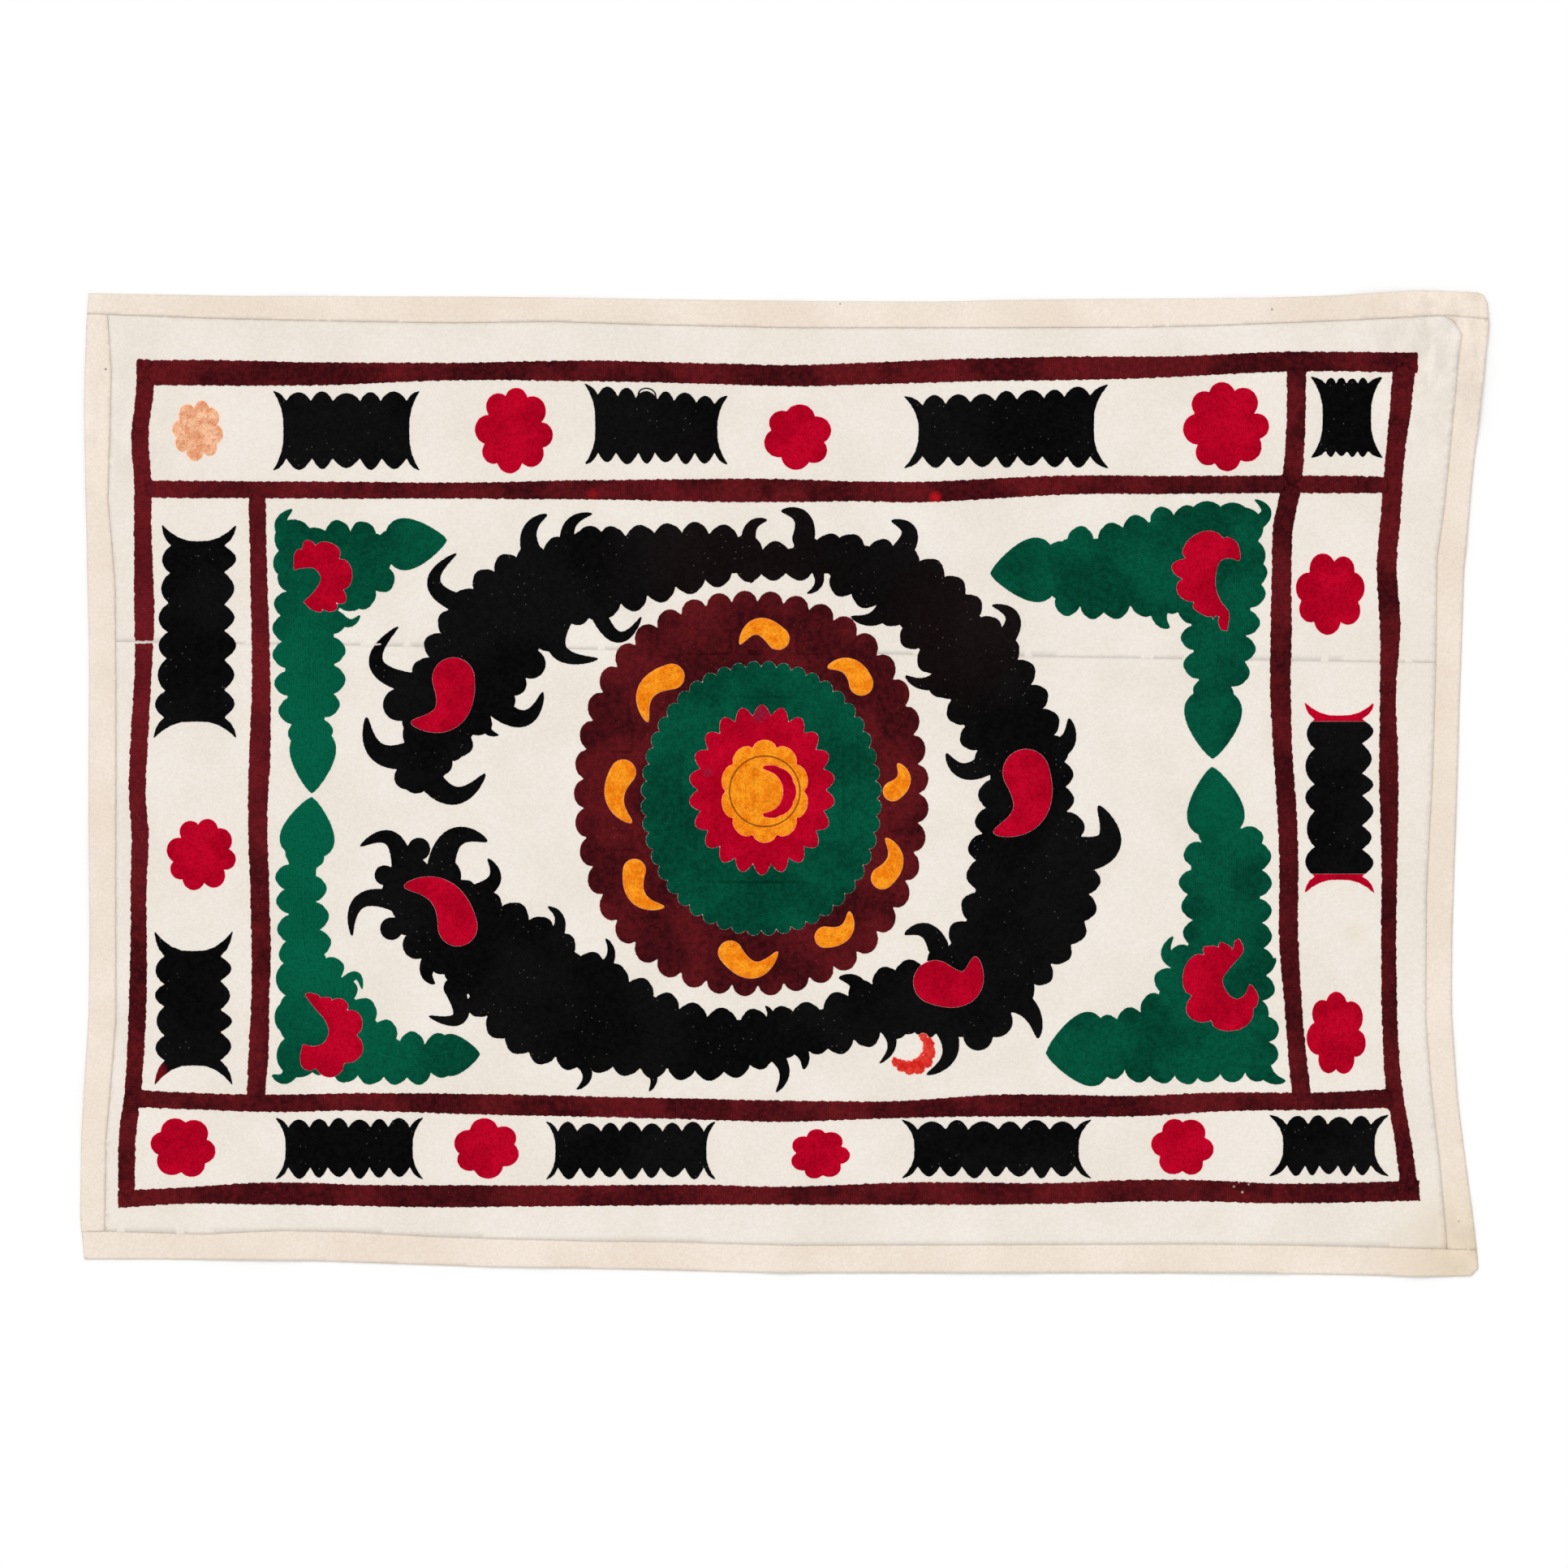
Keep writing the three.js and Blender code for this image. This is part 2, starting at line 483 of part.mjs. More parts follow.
// A tapering claw from a broad root to a sharp tip, swung sideways in its middle
function hornOutline({ x, y, wide, tipX, tipY, swing }, sections = [0, 0.38, 0.72]) {
  const root = new THREE.Vector2(x, y);
  const tip = new THREE.Vector2(tipX, tipY);
  const across = new THREE.Vector2(tip.y - root.y, root.x - tip.x).normalize();
  const middle = root.clone().add(tip).multiplyScalar(0.5).addScaledVector(across, 2 * swing);
  const curve = new THREE.QuadraticBezierCurve(root, middle, tip);
  const right = [];
  const left = [];
  for (const along of sections) {
    const ahead = curve.getTangent(along);
    const side = new THREE.Vector2(ahead.y, -ahead.x);
    const half = (wide / 2) * (1 - along) ** 0.55;
    right.push(curve.getPoint(along).addScaledVector(side, half));
    left.unshift(curve.getPoint(along).addScaledVector(side, -half));
  }
  return [...right, tip, ...left];
}

// A drop: a round head, then a tail that tapers to a point
function paisleyOutline({ x, y, radius, tipX, tipY, swing }) {
  const tail = hornOutline({ x, y, wide: 2 * radius, tipX, tipY, swing }, [0, 0.2, 0.4, 0.6, 0.82]);
  const ahead = Math.atan2(tail[0].x - x, y - tail[0].y);
  const cap = [1, 2, 3].map((i) => {
    const angle = ahead + Math.PI / 2 + (i * Math.PI) / 4;
    return new THREE.Vector2(x + radius * Math.cos(angle), y + radius * Math.sin(angle));
  });
  return [...tail, ...cap];
}

// A smooth leaf: round at its base, widest a third of the way, sharp at its tip
function leafOutline({ x, y, tipX, tipY, half }) {
  const base = new THREE.Vector2(x, y);
  const tip = new THREE.Vector2(tipX, tipY);
  const across = new THREE.Vector2(tip.y - base.y, base.x - tip.x).normalize();
  const right = [];
  const left = [];
  for (const along of [0.02, 0.14, 0.3, 0.48, 0.66, 0.84]) {
    const out = half * Math.sin(Math.PI * along ** 0.6) ** 0.75;
    right.push(base.clone().lerp(tip, along).addScaledVector(across, out));
    left.unshift(base.clone().lerp(tip, along).addScaledVector(across, -out));
  }
  return [...right, tip, ...left];
}

// A curl given by its hollow edge, with lobes along its outer edge
function sprigOutline(rows, lobes = SPRIG_LOBES, depth = SPRIG_LOBE_DEPTH) {
  const curve = smoothed(rows, 'wide');
  const steps = lobes * 3;
  const outer = [];
  const hollow = [];
  for (let i = 0; i <= steps; i += 1) {
    const { at, side, wide } = station(curve, i / steps);
    const lobe = Math.sin((Math.PI * (i % 3)) / 3) ** 0.6;
    outer.push(at.clone().addScaledVector(side, wide * (1 - depth + depth * lobe)));
    if (i % 2 === 0) {
      hollow.unshift(at);
    }
  }
  return [...outer, ...hollow];
}

// Stations at even steps along one edge of a band
function edgeStations(curve, way, pitch) {
  const count = Math.round(curve.getLength() / EDGE_STEP);
  const fine = Array.from({ length: count + 1 }, (_, i) => station(curve, i / count));
  const edge = fine.map(({ at, side, wide }) => at.clone().addScaledVector(side, way * wide));
  const far = [0];
  for (let i = 1; i <= count; i += 1) {
    far.push(far[i - 1] + edge[i].distanceTo(edge[i - 1]));
  }
  const lobes = Math.round(far[count] / pitch);
  return Array.from({ length: lobes + 1 }, (_, i) => {
    const wanted = (far[count] * i) / lobes - FINEST;
    return fine[far.findIndex((reach) => reach >= wanted)];
  });
}

// A band of changing width with a row of scallops along each edge
function scallopedArm(rows, { pitch, radius, notch }) {
  const curve = smoothed(rows, 'half');
  const lengths = 2 * Math.round(curve.getLength() / pitch);
  const solids = [];
  const edges = [];
  for (let i = 0; i <= lengths; i += 1) {
    const { at, side, wide } = station(curve, i / lengths);
    const inset = Math.max(wide - notch, 0.4 * wide);
    edges.push([1, -1].map((way) => at.clone().addScaledVector(side, way * inset)));
  }
  for (const way of [1, -1]) {
    for (const { at, side, wide } of edgeStations(curve, way, pitch)) {
      if (wide > radius) {
        const centre = at.clone().addScaledVector(side, way * (wide - 0.88 * radius));
        const turn = Math.atan2(side.y, side.x) + Math.PI / BUD_SIDES;
        solids.push(bud({ x: centre.x, y: centre.y, radius, turn }));
      }
    }
  }
  // Each length of the band overlaps the next by half, so that no slit is left between them
  for (let i = 2; i < edges.length; i += 1) {
    const [[right, left], [rightAhead, leftAhead]] = [edges[i - 2], edges[i]];
    solids.push(prism([right, rightAhead, left]));
    solids.push(prism([rightAhead, leftAhead, left]));
  }
  return joined(solids);
}

function bud({ x, y, radius, turn = 0 }) {
  const round = { x, y, across: 2 * radius, up: 2 * radius, petals: BUD_SIDES, depth: 0, perPetal: 1, turn };
  return prism(rosetteOutline(round));
}

// The pieces

// All that lies past a seam line on one side of it, less half the seam's gap
function beyond(rows, way, gap) {
  const near = rows.map(({ x, y }) => new THREE.Vector2(x + way.x * gap, y + way.y * gap));
  const far = near.map((point) => point.clone().addScaledVector(way, REACH)).reverse();
  return prism([...near, ...far]);
}

function clothPieces() {
  const whole = prism(OUTER_EDGE);
  const up = new THREE.Vector2(0, 1);
  const right = new THREE.Vector2(1, 0);
  const down = up.clone().negate();
  const left = right.clone().negate();
  const core = whole
    .subtract(beyond(SEAM_TOP, up, -GAP / 2))
    .subtract(beyond(SEAM_BOTTOM, down, -GAP / 2));
  const ground = core
    .subtract(beyond(SEAM_LEFT, left, -GAP / 2))
    .subtract(beyond(SEAM_RIGHT, right, -GAP / 2));
  const upperSide = beyond(PANEL_SEAM, up, GAP / 2).add(beyond(PANEL_SEAM, up, REACH - GAP));
  return {
    band_top: whole.intersect(beyond(SEAM_TOP, up, GAP / 2)),
    band_bottom: whole.intersect(beyond(SEAM_BOTTOM, down, GAP / 2)),
    band_left: core.intersect(beyond(SEAM_LEFT, left, GAP / 2)),
    band_right: core.intersect(beyond(SEAM_RIGHT, right, GAP / 2)),
    ground_upper: ground.intersect(upperSide),
    ground_lower: ground.subtract(upperSide.add(beyond(PANEL_SEAM, up, -GAP / 2))),
  };
}

function frameLattice() {
  const bars = Object.values(FRAME_BARS).map((rows) => prism(barOutline(rows)));
  return joined(bars).subtract(rectangle(SEAM_SLIT));
}

function cutBy(solid, outlines) {
  return outlines.reduce((rest, outline) => rest.subtract(prism(grown(outline, GAP))), solid);
}

function cornerSpray({ arm, leaves, buds, horns, sprig }) {
  const spray = joined([
    scallopedArm(arm, ARM_LOBE),
    ...leaves.map((row) => prism(leafOutline(row))),
    ...buds.map(bud),
    ...horns.map((row) => prism(hornOutline(row))),
  ]);
  return cutBy(spray, [sprigOutline(sprig)]);
}

function vine(unfinished) {
  const whole = joined([
    scallopedArm(VINE_SPINE, VINE_LOBE),
    ...[...VINE_BUDS, ...VINE_SWELLS].map(bud),
    ...VINE_HORNS.map((row) => prism(hornOutline(row))),
  ]);
  return cutBy(whole, [...VINE_PAISLEYS.map(paisleyOutline), unfinished]);
}

// Assembly

const model = new THREE.Group();

function place(name, solid, colour, from, to, roughness) {
  const mesh = layer(solid, from, to).getMesh();
  const geometry = new THREE.BufferGeometry();
  geometry.setAttribute('position', new THREE.BufferAttribute(new Float32Array(mesh.vertProperties), 3));
  geometry.setIndex(new THREE.BufferAttribute(new Uint32Array(mesh.triVerts), 1));
  const material = new THREE.MeshStandardMaterial({ color: COLOUR[colour], roughness, metalness: 0 });
  const piece = new THREE.Mesh(geometry, material);
  piece.name = name;
  model.add(piece);
}

function stitch(name, solid, colour) {
  place(name, solid, colour, STITCH_BASE, STITCH_TOP, ROUGHNESS.thread);
}

function numbered(name, i) {
  return `${name}_${String(i + 1).padStart(2, '0')}`;
}

for (const [name, solid] of Object.entries(clothPieces())) {
  const isBand = name.startsWith('band');
  place(name, solid, isBand ? 'band' : 'ground', 0, isBand ? BAND_THICK : CLOTH_THICK, ROUGHNESS.cotton);
}

stitch('frame_lattice', frameLattice(), 'maroon');

FLOWERS.forEach((row, i) => {
  stitch(numbered('flower', i), prism(flowerOutline(row)), row.colour);
});

BLOCKS.forEach((row, i) => {
  const block = prism(blockOutline(row));
  if (i !== RED_ENDED_BLOCK.row) {
    stitch(numbered('block', i), block, 'black');
    return;
  }
  const body = { x: row.x, y: row.y, across: REACH, up: 2 * RED_ENDED_BLOCK.bodyHalf };
  const ends = block.subtract(rectangle({ ...body, up: body.up + 2 * GAP }));
  stitch(numbered('block', i), block.intersect(rectangle(body)), 'black');
  ends.decompose().forEach((end, side) => stitch(numbered('block_red_end', side), end, 'red'));
});

for (const [corner, rows] of Object.entries(CORNERS)) {
  stitch(`corner_spray_${corner}`, cornerSpray(rows), 'green');
  stitch(`corner_sprig_${corner}`, prism(sprigOutline(rows.sprig)), 'red');
}

const unfinished = sprigOutline(UNFINISHED, 6, 0.2);
stitch('vine', vine(unfinished), 'black');
VINE_PAISLEYS.forEach((row, i) => {
  stitch(numbered('vine_paisley', i), prism(paisleyOutline(row)), 'red');
});
stitch('unfinished_crescent', prism(unfinished), 'coral');

const rings = Object.fromEntries(
  Object.entries(MEDALLION).map(([name, ring]) => [name, rosetteOutline(ring)]),
);
const crescent = sprigOutline(CENTRE_CRESCENT, 5, 0.12);
const medallionDrops = MEDALLION_PAISLEYS.map(paisleyOutline);
stitch('medallion_outer_ring', cutBy(prism(rings.maroon), [rings.green, ...medallionDrops]), 'maroon');
stitch('medallion_green_ring', cutBy(prism(rings.green), [rings.red]), 'green');
stitch('medallion_red_ring', cutBy(prism(rings.red), [rings.rosette]), 'red');
stitch('medallion_rosette', cutBy(prism(rings.rosette), [crescent]), 'orange');
stitch('medallion_crescent', prism(crescent), 'red');
medallionDrops.forEach((outline, i) => {
  stitch(numbered('medallion_paisley', i), prism(outline), 'orange');
});

export default model;
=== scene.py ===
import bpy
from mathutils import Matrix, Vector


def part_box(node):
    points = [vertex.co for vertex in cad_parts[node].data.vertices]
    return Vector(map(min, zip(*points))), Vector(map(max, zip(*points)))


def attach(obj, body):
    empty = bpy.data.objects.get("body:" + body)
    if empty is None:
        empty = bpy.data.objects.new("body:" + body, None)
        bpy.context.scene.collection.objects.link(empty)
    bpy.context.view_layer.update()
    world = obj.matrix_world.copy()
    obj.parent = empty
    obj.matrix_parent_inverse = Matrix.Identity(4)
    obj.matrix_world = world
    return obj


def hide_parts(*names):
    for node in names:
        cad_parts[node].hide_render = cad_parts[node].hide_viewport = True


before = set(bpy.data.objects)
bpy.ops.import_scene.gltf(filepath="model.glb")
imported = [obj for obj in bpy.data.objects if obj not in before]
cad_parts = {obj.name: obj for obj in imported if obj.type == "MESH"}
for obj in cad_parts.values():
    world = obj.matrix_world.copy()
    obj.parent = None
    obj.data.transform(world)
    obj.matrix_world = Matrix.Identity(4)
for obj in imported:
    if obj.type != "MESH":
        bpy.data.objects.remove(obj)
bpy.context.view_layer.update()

import copy
import math

import bpy
import numpy as np
from mathutils import Vector
from mathutils.geometry import delaunay_2d_cdt

bl_info = {
    "name": "Embroidered tablecloth",
    "version": (1, 0, 0),
    "blender": (4, 5, 0),
    "location": "3D View > Sidebar > Tablecloth",
    "description": "Builds a cotton tablecloth with edge bands and dense chain-stitched embroidery",
    "category": "Mesh",
}

# Millimetres are used in the tables and in the outline work, metres on the finished meshes
MM = 0.001
FAR = 500.0
TINY = 1e-9

# Stations along a curve of the tables, and the lattice on which outlines are worked out
KNOT_STEPS = 16
LINE_SPACING = 4
BAR_SPACING = 12
FIELD_PITCH = 1.5
FIELD_MARGIN = 6.0
WINDOW_MARGIN = 12.0
MOTIF_MARGIN = 30.0
OUTLINE_TOLERANCE = 0.09
LEAST_LOOP_AREA = 6.0
JOIN_TOLERANCE = 1e-5

# Scallops along the vine and the corner sprays; each is two discs, given by how far in from the edge
# their centres lie and how large they are, both as shares of the scallop's radius
VINE_LOBE = {"pitch": 40, "radius": 21, "notch": 16, "core": 16}
ARM_LOBE = {"pitch": 39, "radius": 19, "notch": 17, "core": 14}
SCALLOP_DISCS = ((1.08, 1.0), (0.68, 0.68))
LEAST_INSET = 0.4

# Lobes of the rings and curls: points along each, how square its top is, and how deep the notches are
LOBE_STEPS = 8
LOBE_BULGE = 0.6
SPRIG_LOBES = {"lobes": 7, "depth": 0.24}
UNFINISHED_LOBES = {"lobes": 8, "depth": 0.2}
CRESCENT_LOBES = {"lobes": 5, "depth": 0.12}

# Blocks: their lobes, how much of a horn's length the lobes leave free, and one horned end, as shares
# of the horn's length from the end, of the half width from the middle, and of a lobe's depth
ROUND_LOBES = {"deepest": 15, "bulge": 0.75}
POINTED_LOBES = {"deepest": 18, "bulge": 1.0}
LOBE_DEPTH_SHARE = 0.7
LOBE_INSET = 1.5
HORN_FREE = 0.9
HORN_CORNER = (
    (0.72, 0, 0), (0.7, 0.3, 0), (0.56, 0.56, 0), (0.32, 0.79, 0),
    (0, 1, 0), (0.4, 1, 0.2), (0.66, 1, 0.48), (0.82, 1, 0.82),
)

# Leaves, curled horns and flowers
LEAF = {"steps": 24, "start": 0.02, "lead": 0.6, "full": 0.75}
HORN = {"steps": 40, "crowd": 1.4, "taper": 0.52}
PETAL_SIZE = 2.5
FLOWER_CORE = 0.71

# No two lobes or petals are quite alike: shares by which their size and place vary
SIZE_SWAY = 0.1
PLACE_SWAY = 0.08

# How far hand stitches move an edge in and out, and over what length
WOBBLE = 0.3
FINE_WOBBLE = 0.1
LEAST_WOBBLE = 0.05
WOBBLE_LENGTH = 5.0
BAR_WOBBLES = ((0.55, 7.0), (0.6, 16.0))
FRAYED_WOBBLE = (1.5, 4.5)

# Gap between two threads' stitches
CUT_GAP = 0.35

# The panel seam shows as a slit where it crosses the outer left bar
SEAM_SLIT = {"x": -911, "y": 201, "across": 60, "up": 3.5}

# The camera stands straight above; the frame is this wide on the cloth
VIEW_WIDTH = 2.2270
VIEW_LENS = 85.0
VIEW_SENSOR = 36.0
VIEW_OFFSET = (-0.0006, -0.0006)
VIEW_FAR = 50


def table(columns, rows):
    """Rows with named columns; places and sizes are in millimetres."""
    names = columns.split()
    return [dict(zip(names, row)) for row in rows]


def linear(red, green, blue):
    """A colour given in 0 to 255 as the scene's own linear colour."""
    shares = [c / 255 for c in (red, green, blue)]
    return tuple(c / 12.92 if c < 0.04045 else ((c + 0.055) / 1.055) ** 2.4 for c in shares)


# Ridges and tucks where the cloth lifts off the surface, and by how much
FOLDS = table("x y to_x to_y half lift", [
    [-4, 700, -4, 600, 50, 1.2], [-4, -560, -4, -700, 50, 1.4], [420, 5, 640, 5, 45, 0.9],
    [-962, 590, -958, 400, 60, 3.2], [-980, 300, -965, 180, 50, 1.2], [-975, -60, -968, -210, 55, 1.6],
    [-985, -420, -975, -520, 55, 1.4], [840, 680, 960, 655, 60, 3.6], [965, 640, 985, 520, 60, 3.8],
    [945, 450, 960, 340, 50, 1.6], [935, 60, 940, -60, 50, 1.3], [925, -330, 935, -440, 55, 1.8],
    [945, -620, 900, -680, 60, 2.4], [-700, 690, -640, 670, 55, 1.5], [-330, 685, -260, 665, 55, 1.2],
    [300, 680, 380, 660, 55, 1.4], [640, 685, 700, 670, 50, 1.6], [-800, -650, -720, -670, 55, 1.5],
    [-420, -660, -350, -680, 55, 1.2], [240, -670, 330, -690, 55, 1.3], [600, -670, 690, -690, 55, 1.6],
])

# The dark red frame: eight bars worked as one lattice
FRAME_BARS = {name: table("x y wide", rows) for name, rows in {
    "outer_top": [
        [-920, 584, 35], [-803, 583, 36], [-653, 582, 32], [-469, 585, 25], [-284, 586, 29],
        [-100, 582, 29], [10, 579, 30], [108, 582, 31], [258, 587, 32], [439, 590, 33], [549, 592, 29],
        [719, 599, 28], [899, 598, 28],
    ],
    "inner_top": [
        [-912, 418, 24], [-711, 417, 24], [-446, 416, 23], [-284, 417, 27], [-27, 416, 33], [108, 415, 28],
        [200, 414, 29], [402, 424, 27], [546, 424, 25], [719, 425, 25], [864, 424, 23],
    ],
    "inner_bottom": [
        [-928, -447, 25], [-836, -451, 23], [-728, -454, 25], [-616, -452, 24], [-492, -454, 28],
        [-353, -457, 29], [-170, -461, 29], [-5, -465, 30], [154, -463, 24], [309, -457, 31],
        [500, -458, 29], [615, -452, 27], [753, -451, 24], [868, -447, 27],
    ],
    "outer_bottom": [
        [-946, -590, 25], [-852, -585, 23], [-734, -582, 31], [-584, -585, 30], [-480, -586, 31],
        [-281, -585, 29], [-100, -584, 28], [-5, -585, 25], [200, -582, 32], [384, -582, 29],
        [500, -578, 31], [592, -578, 30], [703, -582, 28], [902, -578, 28],
    ],
    "outer_left": [
        [-905, 602, 27], [-909, 548, 24], [-915, 496, 24], [-911, 427, 24], [-911, 353, 25],
        [-909, 243, 28], [-910, 168, 24], [-916, 62, 25], [-919, -13, 24], [-915, -71, 24],
        [-917, -149, 22], [-917, -224, 23], [-918, -303, 25], [-925, -435, 23], [-933, -501, 24],
        [-934, -600, 22],
    ],
    "inner_left": [
        [-749, 417, 24], [-746, 280, 24], [-743, 156, 26], [-745, 41, 30], [-748, -40, 27],
        [-745, -149, 27], [-743, -247, 27], [-744, -303, 25], [-747, -387, 28], [-751, -449, 25],
    ],
    "inner_right": [
        [727, 592, 27], [726, 502, 27], [720, 425, 28], [708, 364, 28], [706, 299, 28], [705, 205, 30],
        [704, 145, 29], [708, 41, 27], [713, -32, 27], [716, -100, 27], [716, -224, 27], [721, -296, 25],
        [727, -374, 25], [735, -449, 27],
    ],
    "outer_right": [
        [881, 609, 32], [875, 537, 30], [867, 464, 27], [860, 372, 28], [855, 306, 28], [860, 225, 29],
        [857, 133, 23], [858, 19, 27], [859, -100, 23], [858, -224, 21], [860, -353, 22], [866, -437, 23],
        [878, -505, 23], [889, -591, 25],
    ],
}.items()}

# Round heads of the border: their sizes, petals and turn in degrees
FLOWERS = table("x y across up petals turn colour", [
    [-833, 501, 72, 87, 8, 37, "peach"], [-384, 501, 111, 122, 8, -5, "red"],
    [19, 492, 98, 93, 6, 20, "red"], [627, 507, 122, 127, 8, 5, "red"], [775, 270, 99, 118, 7, 9, "red"],
    [784, -355, 86, 119, 7, -15, "red"], [-854, -517, 93, 88, 6, 52, "red"],
    [-423, -518, 94, 86, 6, 38, "red"], [50, -526, 86, 71, 7, -3, "red"], [565, -516, 89, 84, 6, -5, "red"],
    [-828, -101, 99, 104, 8, 31, "red"],
])

# Blocks of the border: how many lobes their upper and lower side has, how long their horns are,
# their turn in degrees, and how much their upper side rises from end to end
BLOCKS = table("x y along across lobes under horn turn skew", [
    [-622, 501, 209, 114, 5, 5, 21, 0, 0], [-182, 506, 205, 108, 6, 6, 22, 0, -17],
    [315, 503, 292, 112, 7, 7, 30, 0, 17], [798.5, 520, 103, 116, 4, 4, 24, 0, 0],
    [-834, 216, 305, 113, 6, 6, 34, 90, -12], [-839, -319, 220, 112, 4, 4, 40, 90, 0],
    [788, -20, 272, 100, 5, 6, 27, 90, 0], [-618, -518, 212, 89, 6, 6, 22, 0, 0],
    [-218, -521, 243, 84, 7, 7, 20, 0, 0], [301, -519, 272, 85, 6, 7, 27, 0, 0],
    [773, -514, 173, 89, 4, 5, 30, 0, 0],
])

# A loop of thread that stands out over the second block's upper edge
LOOSE_LOOP = {"row": 1, "path": table("x y half", [
    [-208, 549, 1], [-206, 557, 1], [-199, 561, 1], [-190, 560, 1], [-184, 555, 1], [-182, 547, 1],
])}

# One block has its two horned ends worked in red, as crescents
RED_ENDED_BLOCK = {"row": 6, "body_half": 108}

# Corner sprays: two arms meet in a corner, each with a pointed leaf at its end
CORNER_COLUMNS = {
    "arm": "x y half", "leaves": "x y tip_x tip_y half", "buds": "x y radius",
    "horns": "x y wide tip_x tip_y swing", "sprig": "x y wide",
}
CORNER_ROWS = {
    "top_left": {
        "arm": [
            [-558, 335, 25], [-583, 326, 50], [-606, 313, 64], [-648, 299, 67], [-671, 254, 54],
            [-675, 202, 52], [-674, 150, 51], [-676, 110, 44], [-673, 73, 32],
        ],
        "leaves": [[-568, 337, -479, 346, 37], [-669, 78, -671, -14, 33]],
        "buds": [[-697, 348, 27], [-704, 313, 22]],
        "horns": [
            [-699, 348, 25, -699, 389, -16], [-632, 235, 16, -603, 239, 9],
        ],
        "sprig": [
            [-683, 258, 18], [-666, 275, 43], [-658, 292, 45], [-667, 305, 44], [-683, 306, 34],
            [-696, 303, 6],
        ],
    },
    "top_right": {
        "arm": [
            [384, 306, 39], [398, 303, 61], [447, 299, 66], [487, 305, 70], [524, 312, 75], [564, 320, 76],
            [615, 306, 69], [618, 243, 59], [617, 203, 54], [614, 162, 47], [609, 130, 29],
        ],
        "leaves": [[389, 306, 292, 298, 46], [609, 135, 608, 35, 41]],
        "buds": [[652, 364, 28], [659, 324, 24], [636, 372, 27], [600, 374, 27]],
        "horns": [
            [668, 368, 21, 668, 403, 16], [532, 246, 25, 546, 222, 5],
        ],
        "sprig": [
            [646, 316, 8], [631, 320, 32], [618, 315, 54], [613, 299, 64], [612, 281, 56], [620, 258, 34],
            [631, 243, 21], [629, 217, 11],
        ],
    },
    "bottom_right": {
        "arm": [
            [615, -67, 28], [626, -95, 61], [626, -149, 66], [630, -207, 62], [615, -282, 83],
            [581, -342, 84], [523, -366, 61], [463, -374, 46],
        ],
        "leaves": [[615, -77, 607, 24, 41], [463, -374, 371, -383, 53]],
        "buds": [
            [654, -374, 33], [684, -349, 18], [684, -384, 17], [671, -406, 17], [636, -406, 18],
            [600, -406, 18], [467, -374, 36],
        ],
        "horns": [
            [670, -259, 21, 697, -248, 6], [567, -256, 23, 552, -217, -18], [680, -404, 23, 711, -422, 6],
        ],
        "sprig": [
            [646, -220, 9], [652, -236, 20], [635, -259, 46], [622, -278, 57], [628, -296, 64],
            [641, -306, 46], [654, -299, 24], [660, -285, 6],
        ],
    },
    "bottom_left": {
        "arm": [
            [-681, -102, 28], [-685, -120, 37], [-686, -147, 36], [-684, -186, 37], [-681, -231, 38],
            [-668, -276, 47], [-646, -342, 69], [-601, -372, 58], [-572, -382, 46], [-547, -389, 39],
            [-522, -390, 38], [-489, -386, 32],
        ],
        "leaves": [[-681, -107, -671, -19, 39], [-494, -386, -432, -384, 30]],
        "buds": [[-690, -386, 31], [-697, -332, 27], [-695, -277, 27]],
        "horns": [
            [-699, -404, 23, -727, -414, -10], [-625, -284, 16, -600, -292, -16],
        ],
        "sprig": [
            [-684, -370, 23], [-668, -373, 41], [-653, -367, 54], [-647, -352, 52], [-653, -335, 42],
            [-666, -320, 26], [-681, -300, 7],
        ],
    },
}
CORNERS = {
    corner: {part: table(CORNER_COLUMNS[part], rows) for part, rows in parts.items()}
    for corner, parts in CORNER_ROWS.items()
}

# The vine: a scalloped band round the medallion, with buds and curled horns
VINE_SPINE = table("x y half", [
    [-505, 35, 35], [-480, 99, 65], [-436, 191, 71], [-376, 258, 71], [-307, 288, 65], [-231, 304, 63],
    [-184, 312, 56], [-134, 321, 51], [-88, 324, 44], [-25, 316, 28], [21, 320, 32], [57, 329, 26],
    [89, 312, 46], [142, 292, 53], [191, 262, 61], [244, 202, 65], [288, 139, 71], [315, 87, 71],
    [341, 29, 67], [343, -40, 71], [348, -92, 89], [352, -149, 96], [318, -224, 83], [275, -270, 74],
    [223, -299, 62], [160, -309, 53], [73, -342, 43], [16, -349, 36], [-77, -369, 50], [-155, -363, 58],
    [-251, -335, 78], [-334, -306, 92], [-395, -255, 86], [-459, -208, 69], [-503, -169, 55],
    [-539, -139, 39],
])

